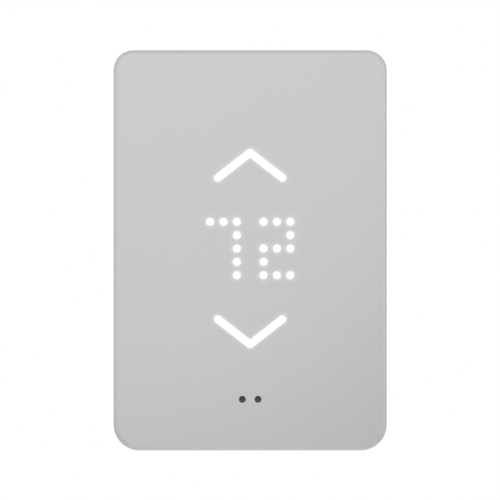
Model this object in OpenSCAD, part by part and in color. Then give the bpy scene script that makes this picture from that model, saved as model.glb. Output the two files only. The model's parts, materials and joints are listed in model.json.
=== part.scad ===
// Wall thermostat for line-voltage heating: a wall unit that carries the mains parts,
// and a front module with the display that tilts up and off two hooks.
//
// Every piece is drawn in the wall's own plan: x to the right, y up, and z out of the wall
// into the room. upright() turns that plan to stand, so that z becomes -Y and y becomes +Z.
// The origin is on the wall, midway between the two screws of the wiring box.

/* [Body] */
// Width of the front cover
body_w = 89; // [76:0.5:110]
// Height of the front cover
body_h = 130.4; // [122:0.2:160]
// Depth from the wall to the front face
body_depth = 22; // [21.5:0.5:28]
// Radius of the two top corners
corner_r_top = 6.5; // [5:0.5:12]
// Radius of the two bottom corners
corner_r_bottom = 8.5; // [5:0.5:12]
// Rounding of the front edge
edge_r = 1.8; // [0.8:0.1:2]

/* [Cover walls] */
// Thickness of the cover's side walls
cover_wall = 2; // [1.6:0.1:2.6]
// Thickness of the front face
face_wall = 2.2; // [1.8:0.1:2.6]
// Skin left over each lens, thin enough to glow
lens_skin = 0.7; // [0.5:0.1:1]
// Gap between the cover's rear rim and the wall
rim_gap = 1.2; // [0.8:0.1:2]
// Width of one vent slot
vent_w = 1.6; // [1:0.2:2.4]
// Number of vent slots on each side of the middle
vent_count = 6; // [3:1:7]

/* [Display] */
// Height of the display's centre above the cover's centre
display_rise = 0.6; // [-4:0.2:6]
// Distance between two dots
dot_pitch = 4.35; // [4:0.05:5.2]
// Diameter of one dot
dot_d = 2.8; // [2.2:0.1:3.2]
// Half width of an arrow, on its centre line
arrow_half_w = 10.5; // [8:0.5:13]
// Height of an arrow, on its centre line
arrow_h = 8.2; // [6:0.2:10]
// Width of an arrow's stroke
arrow_stroke = 2.7; // [2:0.1:3.4]
// Distance from the display's centre to the foot of each arrow
arrow_foot = 23; // [18:0.5:26]
// Height of the sensor windows above the cover's bottom edge
sensor_rise = 16.7; // [14:0.1:20]
// Distance between the two sensor windows
sensor_pitch = 5.1; // [4.8:0.1:8]
// Diameter of a sensor window
sensor_d = 2.2; // [1.6:0.1:3]

/* [Wall unit] */
// Distance between the two screws of a single wiring box
box_pitch = 83.3; // [83:0.1:84]
// Width of the box screw slots
slot_w = 4.2; // [3.8:0.1:5]
// Length of the box screw slots
slot_len = 7; // [5:0.5:9]
// Thickness of the wall plate
plate_t = 2.2; // [1.8:0.1:3]
// Height of the wall plate's stiffening rib above the wall
rib_z = 7; // [5:0.5:8]
// Width of the housing that sits in the wiring box
tub_w = 45; // [42:0.5:48]
// Height of the housing that sits in the wiring box
tub_h = 64; // [60:0.5:68]
// Depth of the housing behind the wall
tub_depth = 20; // [20:0.5:26]
// Wall of the housing
tub_wall = 1.8; // [1.4:0.1:2.2]

/* [Fastening] */
// Radius of the hinge bars that the cover hangs on
bar_r = 1.5; // [1.2:0.1:2]
// Distance of the hinge bars below the cover's inner top wall
bar_drop = 4; // [4:0.2:6]
// Distance of the hinge bars from the wall
bar_z = 8; // [7:0.2:9]
// Distance of each hook from the middle
hook_x = 24; // [18:1:28]
// Radius of the clamp screw's shank
screw_r = 1.5; // [1.2:0.1:2]
// Radius of the clamp screw's head
screw_head_r = 2.75; // [2.4:0.05:3.4]
// Distance of the clamp screw's axis from the wall
screw_z = 6; // [5.5:0.5:7]

/* [Terminals] */
// Distance between two wire terminals
terminal_pitch = 9.5; // [9.2:0.1:10]
// Radius of the hole that takes a wire
wire_r = 1.9; // [1.4:0.1:2.1]
// Length of the guide hole that takes a wire
wire_guide = 4; // [3:0.5:5]

/* [Hidden] */
$fn = 48;
eps = 0.5; // how far a cut runs past the face it opens, or a boss runs into its wall

gap = 0.3; // working gap between two pieces that move past each other
fit_gap = 0.1; // gap round a piece that is dropped into its seat
run_gap = 0.08; // gap round a shaft that turns

// Levels out of the wall
face_in = body_depth - face_wall;
film_t = 0.2;
mask_front = face_in - film_t;
mask_t = 3.6;
board_t = 1.6;
board_front = mask_front - mask_t;
board_back = board_front - board_t;

vent_back = 11;
vent_front = face_in - 2.3;
vent_pitch = 2.4 * vent_w;

// Outline of the cover's inside
inner_w = body_w - 2 * cover_wall;
inner_h = body_h - 2 * cover_wall;
inner_top = inner_h / 2;
inner_bottom = -inner_h / 2;
inner_r_top = corner_r_top - cover_wall;
inner_r_bottom = corner_r_bottom - cover_wall;

// Hinge bars and hooks
bar_y = inner_top - bar_drop;
hook_w = 4;
hook_t = 1.8;
hook_leg = 3.4;
hook_slot_r = bar_r + run_gap;
cheek_t = 2;
cheek_r = bar_r + 0.5;
cheek_in = hook_w / 2 + 0.4;
rim_relief_z = rim_gap + 1.2;
rim_relief_run = 12;

// Wall plate
plate_gap = 0.5;
plate_w = inner_w - 2 * plate_gap;
plate_bottom = inner_bottom + plate_gap;
plate_top = bar_y + 0.3;
plate_h = plate_top - plate_bottom;
plate_mid = (plate_top + plate_bottom) / 2;
plate_r = 1; // what the plate's corners are rounder than the cover's inside
rib_t = 1.6;
rib_top = bar_y - hook_leg - 2.4;

// Clamp screw at the bottom, which points up
head_h = 2;
web_t = 2.7; // the cover's web that the screw head pulls up
web_bottom = inner_bottom - cover_wall + 2.8;
web_top = web_bottom + web_t;
swing_dip = 0.25;
clamp_boss_w = 14;
clamp_boss_front = screw_z + 6;
head_top = web_bottom - gap;
lug_w = 12;
lug_h = 4;
lug_bottom = web_top + 0.35;
lug_top = lug_bottom + lug_h;
lug_front = screw_z + 4.5;
insert_wall = 0.62;
clip_t = 0.6;
clip_r = 2.6;
clip_groove = 0.3; // depth of the groove that the clip sits in
screw_turns = 3;
thread_pitch = 0.5;
clip_bottom = lug_top + screw_turns * thread_pitch + gap;
screw_tip = clip_bottom + clip_t + 0.8;

// Closing ribs of the cover, which rest on the wall plate's rib
stop_gap = gap;
stop_reach = 2.2;
stop_w = 1.4;

// Display
display_y = display_rise;
dot_r = dot_d / 2;
dot_cols = [-3, -2, -1, 1, 2, 3];
dot_rows = [-2, -1, 0, 1, 2];
dots = [for (c = dot_cols) for (r = dot_rows) [c * dot_pitch, display_y + r * dot_pitch]];
arrow_angle = atan2(arrow_h, arrow_half_w);
arrow_len = norm([arrow_h, arrow_half_w]);
arrow_led_spots = [0.04, 0.36, 0.68, 1];
well_r = dot_r + 0.3;
led_w = 1.6;
led_h = 0.8;
mask_w = 2 * (arrow_half_w + arrow_stroke) + 7;
mask_h = 2 * (arrow_foot + arrow_h + arrow_stroke) + 5;
mask_r = 3;
pad_w = mask_w + 12;
pad_inner = arrow_foot - arrow_stroke - 1.6;
pad_outer = arrow_foot + arrow_h + arrow_stroke + 3.4;
contact_x = mask_w / 2 + 3;
contact_y = (pad_inner + pad_outer) / 2;
sensor_y = -body_h / 2 + sensor_rise;

// Display board
board_w = body_w - 13;
board_top = rib_top - 1;
board_bottom = inner_bottom + 4.4;
board_h = board_top - board_bottom;
board_mid = (board_top + board_bottom) / 2;
board_r = 4;
boss_x = board_w / 2 - 4.5;
boss_ys = [board_top - 5, board_bottom + 10];
boss_r = 2.8;
board_screw_r = 1.1;

// Housing in the wiring box
tub_r = 3;
flange_w = tub_w + 16;
flange_h = tub_h + 7;
flange_t = 1.6;
flange_front = plate_t + flange_t;
lid_t = 1.6;
lid_back = 6.5;
lid_front = lid_back + lid_t;
lid_boss_r = 2.6;
lid_boss_x = flange_w / 2 - lid_t - lid_boss_r - gap;
lid_boss_y = 26;
lid_screw_r = 1.3;
tub_in_w = tub_w - 2 * tub_wall;
tub_in_h = tub_h - 2 * tub_wall;
tub_floor = -tub_depth + tub_wall;
power_t = 1.6;
power_back = -power_t;
post_w = 3.4;
mains_y = -tub_in_h / 2 + 6.1; // row of mains parts at the bottom of the power board

// Pin header between the wall unit and the front module
header_y = -22;
pin_pitch = 2.54;
pin_w = 0.64;
pins = [for (c = [-2:2]) for (r = [-0.5, 0.5]) [c * pin_pitch, header_y + r * pin_pitch]];
header_w = 5 * pin_pitch + 0.4;
header_d = 2 * pin_pitch + 0.2;
header_h = 2.5;
socket_h = 5;
socket_hole = 1.2;
socket_back = board_back - socket_h;
pin_tip = socket_back + 3.2;

// Wire terminals
terminal_xs = [for (i = [-1.5:1.5]) i * terminal_pitch];
terminal_w = terminal_pitch - 0.5;
terminal_d = 12;
terminal_top = tub_in_h / 2 - 0.6;
terminal_bottom = terminal_top - terminal_d;
wire_y = terminal_bottom + 6.2;
terminal_screw_r = 1.75;
terminal_screw_head = 2.6;
chamber_z = tub_floor + wire_guide;
chamber_w = 5.2;
terminal_screw_z = tub_floor + 7;
driver_r = terminal_screw_head + 0.5;
bar_plate_t = 1.2;

// Relay, seen with its pins towards the board
relay_w = 29;
relay_d = 12.7;
relay_h = 15.7;
relay_wall = 0.7;
relay_gap = 3.6;
relay_y = terminal_bottom - relay_gap - relay_d / 2;
relay_bottom = relay_y - relay_d / 2;
relay_base_t = 2;
relay_floor = power_back - relay_base_t;
coil_x = 5.6;
coil_r = 4.3;
flange_side = 9.6;
coil_flange_t = 0.8;
coil_back = relay_floor - 1.4;
coil_end = coil_back - 8.4;
core_r = 1.5;
pole = coil_end - 0.6;
yoke_t = 1.2;
yoke_w = 7;
yoke_x = coil_x + flange_side / 2 + 0.3;
armature_gap = 0.7;
armature_top = pole - armature_gap;
armature_t = 1.1;
hinge_x = yoke_x + yoke_t / 2;
hinge_z = armature_top;
blade_t = 0.3;
blade_w = 4;
blade_tip = -relay_w / 2 + 2.4;
contact_r = 1.3;
moving_contact_h = 0.7;
armature_swing = 3;
contact_at = blade_tip + 1.8;
contact_stroke = (hinge_x - contact_at + contact_r) * sin(armature_swing);
blade_z = armature_top - armature_t; // the blade lies on the armature's far side
fixed_contact_z = blade_z + moving_contact_h + contact_stroke + gap;

// ---------------------------------------------------------------- shapes

module upright() rotate([90, 0, 0]) children();

module rod_x(r, x0, x1, y, z) translate([x0, y, z]) rotate([0, 90, 0]) cylinder(r = r, h = x1 - x0);
module rod_y(r, y0, y1, x, z) translate([x, y0, z]) rotate([-90, 0, 0]) cylinder(r = r, h = y1 - y0);
module rod_z(r, z0, z1, x, y) translate([x, y, z0]) cylinder(r = r, h = z1 - z0);
module block(x0, x1, y0, y1, z0, z1) translate([x0, y0, z0]) cube([x1 - x0, y1 - y0, z1 - z0]);

// A block centred on x and y
module slab(w, h, z0, z1, x = 0, y = 0) block(x - w / 2, x + w / 2, y - h / 2, y + h / 2, z0, z1);

// A rectangle with round corners, rt at the top and rb at the bottom
module round_rect(w, h, rt, rb) {
    polygon([
        [-w / 2 + rb, -h / 2], [w / 2 - rb, -h / 2], [w / 2, -h / 2 + rb], [w / 2, h / 2 - rt],
        [w / 2 - rt, h / 2], [-w / 2 + rt, h / 2], [-w / 2, h / 2 - rt], [-w / 2, -h / 2 + rb]
    ]);
    for (s = [-1, 1]) {
        translate([s * (w / 2 - rt), h / 2 - rt]) circle(rt);
        translate([s * (w / 2 - rb), -h / 2 + rb]) circle(rb);
    }
}

module round_slab(w, h, r, z0, z1, x = 0, y = 0)
    translate([x, y, z0]) linear_extrude(z1 - z0) round_rect(w, h, r, r);

// Half of a slab's section, from the middle out to an edge that is rounded at the front
module soft_section(reach, z0, z1, er) {
    polygon([[0, z0], [reach, z0], [reach, z1 - er], [reach - er, z1], [0, z1]]);
    translate([reach - er, z1 - er]) circle(er);
}

// A slab with round corners, its front edge rounded all the way round
module soft_slab(w, h, rt, rb, z0, z1, er) {
    for (s = [-1, 1])
        translate([0, s > 0 ? h / 2 - rt : -h / 2 + rb, 0])
            mirror([0, s > 0 ? 0 : 1, 0]) {
                r = s > 0 ? rt : rb;
                for (m = [0, 1]) mirror([m, 0, 0]) {
                    // the side wall, from the middle of the height to the corner
                    rotate([90, 0, 0]) linear_extrude(h / 2 - r) soft_section(w / 2, z0, z1, er);
                    translate([w / 2 - r, 0, 0]) rotate_extrude() soft_section(r, z0, z1, er);
                }
                // the end wall, between the two corners
                translate([-(w / 2 - r), -(h / 2 - r), 0]) rotate([90, 0, 90])
                    linear_extrude(w - 2 * r) soft_section(h / 2, z0, z1, er);
            }
}

// A stroke from a to b, its round ends a hair wider than its straight sides so that the two cross cleanly
module stroke(a, b, w) {
    d = b - a;
    side = w - 0.03;
    translate(a) {
        circle(w / 2);
        rotate(atan2(d[1], d[0])) translate([0, -side / 2]) square([norm(d), side]);
    }
    translate(b) circle(w / 2);
}

// An arrow head that points up, its feet at y = 0
module arrow(grow = 0) {
    stroke([-arrow_half_w, 0], [0, arrow_h], arrow_stroke + 2 * grow);
    stroke([0, arrow_h], [arrow_half_w, 0], arrow_stroke + 2 * grow);
}

module arrow_solid(side, grow, z0, z1)
    translate([0, display_y + side * arrow_foot, z0]) linear_extrude(z1 - z0)
        mirror([0, side > 0 ? 0 : 1]) arrow(grow);

// A slot with round ends, along y
module slot(w, len, z0, z1, x, y) {
    for (s = [-1, 1]) rod_z(w / 2, z0, z1, x, y + s * (len - w) / 2);
    slab(w, len - w, z0, z1, x, y);
}

// A pan-head screw that points along -z, its head's underside at z = 0, with a cross recess
module screw(r, head_r, head_h, len) {
    recess = head_h * 0.6;
    difference() {
        union() {
            cylinder(r = head_r, h = head_h);
            translate([0, 0, -len]) cylinder(r = r, h = len + head_h / 2);
        }
        for (a = [0, 90]) rotate(a)
            slab(head_r * 1.2, head_r * 0.3, head_h - recess, head_h + eps);
    }
}

module at_corners(dx, dy) for (sx = [-1, 1], sy = [-1, 1]) translate([sx * dx, sy * dy, 0]) children();

// ---------------------------------------------------------------- front module

module cover_shell() difference() {
    soft_slab(body_w, body_h, corner_r_top, corner_r_bottom, rim_gap, body_depth, edge_r);
    translate([0, 0, rim_gap - eps]) linear_extrude(face_in - rim_gap + eps)
        round_rect(inner_w, inner_h, inner_r_top, inner_r_bottom);
}

// A hook hangs over its hinge bar, so it is open at the bottom
module hook(x) difference() {
    block(x - hook_w / 2, x + hook_w / 2, bar_y - hook_leg, inner_top + eps,
        bar_z - hook_slot_r - hook_t, face_in + eps);
    rod_x(hook_slot_r, x - hook_w, x + hook_w, bar_y, bar_z);
    block(x - hook_w, x + hook_w, bar_y - hook_leg - eps, bar_y,
        bar_z - hook_slot_r, bar_z + hook_slot_r);
    block(x - hook_w, x + hook_w, bar_y - hook_leg - eps, bar_y + 1,
        bar_z + hook_slot_r + 2.4, face_in - 1.2);
}

module vent(x, y) slab(vent_w, 2 * cover_wall + 2 * eps, vent_back, vent_front, x, y);

module front_cover() color("gainsboro") difference() {
    union() {
        cover_shell();
        for (s = [-1, 1]) hook(s * hook_x);
        for (s = [-1, 1], y = boss_ys) rod_z(boss_r, board_front, face_in + eps, s * boss_x, y);
        for (m = [0, 1]) mirror([m, 0, 0]) for (y = [rib_top - 8, 0, plate_bottom + 16])
            block(inner_w / 2 - stop_reach, inner_w / 2 + eps, y - stop_w / 2, y + stop_w / 2,
                rib_z + stop_gap, face_in + eps);
        // boss that takes the clamp screw's pull
        block(-clamp_boss_w / 2, clamp_boss_w / 2, inner_bottom - eps, web_top,
            rim_gap, clamp_boss_front);
    }
    // room at the top for the cover to tilt without meeting the wall
    rotate([90, 0, 90]) translate([0, 0, -body_w]) linear_extrude(2 * body_w)
        polygon([
            [bar_y - rim_relief_run, rim_gap], [bar_y, rim_relief_z], [body_h, rim_relief_z],
            [body_h, 0], [bar_y - rim_relief_run, 0]
        ]);
    // lens pockets, from behind
    for (p = dots) rod_z(dot_r + 0.05, face_in - eps, body_depth - lens_skin, p[0], p[1]);
    for (s = [-1, 1]) arrow_solid(s, 0.05, face_in - eps, body_depth - lens_skin);
    for (s = [-1, 1]) {
        rod_z(sensor_d / 2, face_in - eps, body_depth + eps, s * sensor_pitch / 2, sensor_y);
        for (y = boss_ys) rod_z(board_screw_r - 0.15, board_front - eps, face_in - 0.2, s * boss_x, y);
        // vents, along the bottom and the top
        for (i = [0 : vent_count - 1]) {
            vent(s * (11 + i * vent_pitch), -body_h / 2);
            if ((i + 1) * vent_pitch < hook_x - hook_w / 2) vent(s * (i + 0.5) * vent_pitch, body_h / 2);
        }
    }
    // seat and slot of the clamp screw, open at the rear so that the cover can swing off it
    rod_y(screw_head_r + 0.4, -body_h / 2 - eps, web_bottom, 0, screw_z);
    block(-screw_head_r - 0.4, screw_head_r + 0.4, -body_h / 2 - eps, web_bottom, 0, screw_z);
    // a little deeper at the rear, for the way the web dips as the cover starts to swing
    block(-screw_head_r - 0.4, screw_head_r + 0.4, -body_h / 2 - eps, web_bottom + swing_dip,
        0, screw_z - 1.5);
    rod_y(screw_r + gap, web_bottom - eps, web_top + eps, 0, screw_z);
    block(-screw_r - gap, screw_r + gap, web_bottom - eps, web_top + eps, 0, screw_z);
}

// Dark lenses for the proximity sensor, flanged behind the face
module sensor_windows() color("dimgray") for (s = [-1, 1]) {
    rod_z(sensor_d / 2 - 0.04, face_in - 0.6, body_depth - 0.25, s * sensor_pitch / 2, sensor_y);
    rod_z(sensor_d / 2 + 0.15, face_in - 0.6, face_in, s * sensor_pitch / 2, sensor_y);
}

module dot_lenses() color("white")
    for (p = dots) rod_z(dot_r, face_in, body_depth - lens_skin - 0.1, p[0], p[1]);

module arrow_lens(side) color("white") arrow_solid(side, 0, mask_front, body_depth - lens_skin - 0.1);

module diffuser_film() color("whitesmoke")
    slab(7 * dot_pitch, 5 * dot_pitch, mask_front, face_in, 0, display_y);

// Copper film round an arrow, which senses a finger through the face
module touch_pad(side) color("peru") difference() {
    round_slab(pad_w, pad_outer - pad_inner, 2, mask_front, face_in, 0,
        display_y + side * (pad_inner + pad_outer) / 2);
    arrow_solid(side, 0.3, mask_front - eps, face_in + eps);
}

// A folded spring finger from the board to its pad
module touch_contacts() color("gold") for (sx = [-1, 1], sy = [-1, 1])
    translate([sx * contact_x, display_y + sy * contact_y + 0.8, board_front])
        rotate([90, 0, 0]) linear_extrude(1.6) {
            t = 0.25;
            polygon([
                [-1.2, 0], [1.2, 0], [1.2, mask_t * 0.55], [-0.9, mask_t * 0.55 + 0.4],
                [-0.9, mask_t - t], [1.1, mask_t - t], [1.1, mask_t], [-0.9 - t, mask_t],
                [-0.9 - t, mask_t * 0.55 + 0.4 - t], [1.2 - t, mask_t * 0.55 - t],
                [1.2 - t, t], [-1.2, t]
            ]);
        }

// Black frame that keeps each light in its own well
module light_mask() color("darkslategray") difference() {
    union() {
        round_slab(mask_w, mask_h, mask_r, board_front, mask_front - 1, 0, display_y);
        round_slab(mask_w - 4, mask_h - 4, mask_r, board_front, mask_front, 0, display_y);
    }
    for (p = dots) rod_z(well_r, board_front - eps, mask_front + eps, p[0], p[1]);
    for (s = [-1, 1]) arrow_solid(s, -0.2, board_front - eps, mask_front + eps);
}

module display_board() color("seagreen") difference() {
    round_slab(board_w, board_h, board_r, board_back, board_front, 0, board_mid);
    for (s = [-1, 1], y = boss_ys)
        rod_z(board_screw_r + 0.15, board_back - eps, board_front + eps, s * boss_x, y);
    // slots that keep the board's warmth from the climate sensor
    slab(14, 1.2, board_back - eps, board_front + eps, -board_w / 2 + 13, board_bottom + 17);
    slab(1.2, 8, board_back - eps, board_front + eps, -board_w / 2 + 20.6, board_bottom + 9);
}

module digit_leds() color("lightyellow")
    for (p = dots) slab(led_w, led_w, board_front, board_front + led_h, p[0], p[1]);

module arrow_leds() color("lightyellow") for (s = [-1, 1], m = [-1, 1], k = arrow_led_spots)
    if (k < 1 || m > 0)
        slab(1.2, 1.2, board_front, board_front + led_h,
            m * arrow_half_w * (1 - k), display_y + s * (arrow_foot + k * arrow_h));

boot_w = sensor_pitch + 4.6;
boot_h = 6;
well_half = sensor_d / 2 + 0.15 + fit_gap;

// Rubber boot with a tunnel for each eye of the proximity sensor
module sensor_boot() color("dimgray") difference() {
    round_slab(boot_w, boot_h, 1.5, board_front, face_in, 0, sensor_y);
    for (s = [-1, 1]) rod_z(well_half, board_front - eps, face_in + eps, s * sensor_pitch / 2, sensor_y);
}

module proximity_sensors() color("black") for (s = [-1, 1])
    slab(1.6, 1.6, board_front, board_front + 1, s * sensor_pitch / 2, sensor_y);

radio_x = -board_w / 2 + 18;
radio_y = board_top - 22;
radio_t = 0.8;

module radio_board() color("darkslateblue") difference() {
    slab(16, 24, board_back - radio_t, board_back, radio_x, radio_y);
    for (s = [-1, 1], i = [-5:5])
        rod_z(0.4, board_back - radio_t - eps, board_back + eps, radio_x + s * 8, radio_y + i * 1.5 - 3);
}

module radio_shield() color("silver") difference() {
    slab(14.4, 16, board_back - radio_t - 2.2, board_back - radio_t, radio_x, radio_y - 3);
    slab(14, 15.6, board_back - radio_t - 2, board_back, radio_x, radio_y - 3);
}

chips = [
    [board_w / 2 - 19, board_top - 20, 10, 10, 1.4], [board_w / 2 - 18, board_top - 34, 5, 6, 1.2],
    [board_w / 2 - 27, board_top - 34, 5, 6, 1.2], [-board_w / 2 + 18, board_mid - 6, 6, 5, 1.2],
    [board_w / 2 - 14, board_mid - 12, 3.2, 2.5, 1.4], [board_w / 2 - 14, board_mid - 18, 3.2, 1.6, 0.9],
    [board_w / 2 - 20, board_mid - 18, 3.2, 1.6, 0.9], [-board_w / 2 + 15, board_mid - 16, 3.2, 1.6, 0.9]
];

module display_chips() color("black")
    for (c = chips) slab(c[2], c[3], board_back - c[4], board_back, c[0], c[1]);

module socket() color("black") difference() {
    slab(header_w, header_d, socket_back, board_back, 0, header_y);
    for (p = pins) slab(socket_hole, socket_hole, socket_back - eps, socket_back + 4, p[0], p[1]);
}

climate_x = -board_w / 2 + 13;
climate_y = board_bottom + 7;

// Small board with the row of pins that holds it off the large one
module climate_board() color("seagreen") {
    slab(9, 10, board_back - 1.8, board_back - 1, climate_x, climate_y);
    slab(8, 1.8, board_back - 1.2, board_back, climate_x, climate_y + 3.6);
}

module climate_sensor() color("whitesmoke")
    slab(3, 3, board_back - 2.8, board_back - 1.8, climate_x, climate_y - 2.5);

module board_screws() color("silver") for (s = [-1, 1], y = boss_ys)
    translate([s * boss_x, y, board_back]) mirror([0, 0, 1])
        screw(board_screw_r - 0.2, 2, 1.3, board_t + 3.2);

// ---------------------------------------------------------------- wall unit

module hinge_cheek(x) translate([x, 0, 0]) rotate([90, 0, 90]) linear_extrude(cheek_t) {
    polygon([[bar_y - 4, 0], [plate_top, 0], [bar_y + cheek_r, bar_z], [bar_y - cheek_r, bar_z]]);
    translate([bar_y, bar_z]) circle(cheek_r);
}

module wall_plate() color("whitesmoke") difference() {
    union() {
        translate([0, plate_mid, 0]) linear_extrude(plate_t)
            round_rect(plate_w, plate_h, inner_r_top + plate_r, inner_r_bottom + plate_r);
        // stiffening rib
        difference() {
            rib_h = rib_top - plate_bottom;
            translate([0, (rib_top + plate_bottom) / 2, 0]) linear_extrude(rib_z)
                round_rect(plate_w, rib_h, inner_r_bottom + plate_r, inner_r_bottom + plate_r);
            translate([0, (rib_top + plate_bottom) / 2, -eps]) linear_extrude(rib_z + 2 * eps)
                round_rect(plate_w - 2 * rib_t, rib_h - 2 * rib_t,
                    inner_r_bottom + plate_r - rib_t, inner_r_bottom + plate_r - rib_t);
        }
        for (s = [-1, 1], t = [-1, 1])
            hinge_cheek(s * hook_x + (t > 0 ? cheek_in : -cheek_in - cheek_t));
        for (s = [-1, 1])
            rod_x(bar_r, s * hook_x - cheek_in - cheek_t / 2, s * hook_x + cheek_in + cheek_t / 2,
                bar_y, bar_z);
        at_corners(lid_boss_x, lid_boss_y) rod_z(lid_boss_r, 0, lid_back, 0, 0);
        // lug that takes the clamp screw
        block(-lug_w / 2, lug_w / 2, lug_bottom, lug_top, 0, lug_front);
    }
    translate([0, 0, -eps]) linear_extrude(plate_t + 2 * eps)
        round_rect(tub_w + 2 * gap, tub_h + 2 * gap, tub_r, tub_r);
    for (s = [-1, 1]) slot(slot_w, slot_len, -eps, plate_t + eps, 0, s * box_pitch / 2);
    at_corners(lid_boss_x, lid_boss_y) rod_z(lid_screw_r - 0.2, 1, lid_back + eps, 0, 0);
    // room for the cover's clamp boss and the screw head
    block(-clamp_boss_w / 2 - 1, clamp_boss_w / 2 + 1, plate_bottom - eps, lug_bottom, -eps, rib_z + eps);
    rod_y(screw_r + run_gap + insert_wall, lug_bottom - eps, lug_top + eps, 0, screw_z);
}

// Threaded brass bush in the lug
module clamp_insert() color("goldenrod") difference() {
    rod_y(screw_r + run_gap + insert_wall - 0.02, lug_bottom, lug_top, 0, screw_z);
    rod_y(screw_r + run_gap, lug_bottom - eps, lug_top + eps, 0, screw_z);
}

module rear_housing() color("dimgray") difference() {
    union() {
        round_slab(tub_w, tub_h, tub_r, -tub_depth, flange_front);
        round_slab(flange_w, flange_h, tub_r, plate_t, flange_front);
    }
    difference() {
        round_slab(tub_in_w, tub_in_h, tub_r - tub_wall, tub_floor, flange_front + eps);
        // posts that the power board sits on
        for (s = [-1, 1], y = [-tub_in_h / 2 + post_w / 2 - eps, terminal_bottom - 2.6])
            slab(post_w + 2 * eps, post_w, -tub_depth, power_back, s * (tub_in_w / 2 - post_w / 2 + eps), y);
    }
    at_corners(lid_boss_x, lid_boss_y) rod_z(lid_boss_r + gap, plate_t - eps, flange_front + eps, 0, 0);
    for (x = terminal_xs) {
        rod_z(wire_r + 0.4, -tub_depth - eps, tub_floor + eps, x, wire_y);
        rod_y(driver_r, tub_in_h / 2 - eps, tub_h / 2 + eps, x, terminal_screw_z);
    }
}

// Lid over the mains parts
module inner_cover() color("whitesmoke") difference() {
    round_slab(flange_w, flange_h, tub_r, flange_front, lid_front);
    difference() {
        slab(flange_w - 2 * lid_t, flange_h - 2 * lid_t, flange_front - eps, lid_back);
        // stiffening bars across the lid, either side of the header
        for (y = [header_y + 7.2, header_y + 25]) slab(tub_in_w, lid_t, lid_back - 2.4, lid_back + eps, 0, y);
    }
    slab(header_w + 2, header_d + 2, lid_back - eps, lid_front + eps, 0, header_y);
    at_corners(lid_boss_x, lid_boss_y) rod_z(lid_screw_r + 0.2, lid_back - eps, lid_front + eps, 0, 0);
}

module inner_cover_screws() color("silver") at_corners(lid_boss_x, lid_boss_y)
    translate([0, 0, lid_front]) screw(lid_screw_r - 0.25, 2.3, 1.4, lid_front - 2);

module power_board() color("seagreen") difference() {
    round_slab(tub_in_w - 2 * gap, tub_in_h - 2 * gap, tub_r - tub_wall, power_back, 0);
    for (p = pins) rod_z(0.5, power_back - eps, eps, p[0], p[1]);
}

module pin_header_base() color("black") difference() {
    slab(header_w, header_d, 0, header_h, 0, header_y);
    for (p = pins) slab(pin_w, pin_w, -eps, header_h + eps, p[0], p[1]);
}

module pin_header_pins() color("gold")
    for (p = pins) slab(pin_w, pin_w, power_back - 1, pin_tip, p[0], p[1]);

// Power-stage parts on the front of the power board: x, y, width, height, thickness
power_parts = [
    [-11, -8, 5, 4, 1.6], [-11, -16, 4.6, 4.2, 1.8], [12, -10, 5, 6, 1.6], [12, -19, 3.2, 1.6, 0.8],
    [12, -22.5, 3.2, 1.6, 0.8], [-11, 4, 6, 4, 1.6], [2, 6, 3.2, 1.6, 0.8], [10, 6, 4.6, 3.6, 1.4]
];

module power_chips() color("black")
    for (c = power_parts) slab(c[2], c[3], 0, c[4], c[0], c[1]);

// ---------------------------------------------------------------- terminals

module terminal_blocks() color("green") for (x = terminal_xs) difference() {
    block(x - terminal_w / 2, x + terminal_w / 2, terminal_bottom, terminal_top, tub_floor, power_back);
    rod_z(wire_r, tub_floor - eps, chamber_z + eps, x, wire_y);
    rod_y(terminal_screw_r + fit_gap, wire_y, terminal_top + eps, x, terminal_screw_z);
    rod_y(terminal_screw_head + 0.2, terminal_top - 2.4, terminal_top + eps, x, terminal_screw_z);
    // chamber where the screw presses the wire on the copper bar
    block(x - chamber_w / 2, x + chamber_w / 2, wire_y - wire_r - bar_plate_t, wire_y + wire_r + 0.6,
        chamber_z, power_back + eps);
}

module terminal_screws() color("silver") for (x = terminal_xs)
    translate([x, terminal_top - 2.3, terminal_screw_z]) rotate([-90, 0, 0])
        screw(terminal_screw_r, terminal_screw_head, 1.9, terminal_top - 2.3 - wire_y - wire_r - 0.2);

module terminal_bars() color("peru") for (x = terminal_xs)
    block(x - chamber_w / 2 + fit_gap, x + chamber_w / 2 - fit_gap, wire_y - wire_r - bar_plate_t,
        wire_y - wire_r, chamber_z + fit_gap, power_back);

// ---------------------------------------------------------------- relay

module relay_base() color("midnightblue")
    slab(relay_w - 2 * relay_wall, relay_d - 2 * relay_wall, relay_floor, power_back, 0, relay_y);

module relay_case() color("midnightblue") difference() {
    slab(relay_w, relay_d, power_back - relay_h, power_back, 0, relay_y);
    slab(relay_w - 2 * relay_wall, relay_d - 2 * relay_wall, power_back - relay_h + relay_wall,
        power_back + eps, 0, relay_y);
}

module relay_bobbin() color("ivory") difference() {
    union() {
        for (z = [coil_back - coil_flange_t, coil_end])
            slab(flange_side, flange_side, z, z + coil_flange_t, coil_x, relay_y);
        rod_z(core_r + 0.5, coil_end, coil_back, coil_x, relay_y);
    }
    rod_z(core_r, coil_end - eps, coil_back + eps, coil_x, relay_y);
}

module relay_coil() color("chocolate") difference() {
    rod_z(coil_r, coil_end + coil_flange_t, coil_back - coil_flange_t, coil_x, relay_y);
    rod_z(core_r + 0.5, coil_end, coil_back, coil_x, relay_y);
}

// Iron core and the yoke that carries the armature
module relay_yoke() color("silver") {
    rod_z(core_r, pole, coil_back + yoke_t / 2, coil_x, relay_y);
    slab(yoke_x + yoke_t - coil_x + core_r, yoke_w, coil_back, relay_floor,
        (yoke_x + yoke_t + coil_x - core_r) / 2, relay_y);
    slab(yoke_t, yoke_w, armature_top + gap + 0.05, relay_floor, yoke_x + yoke_t / 2, relay_y);
}

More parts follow.
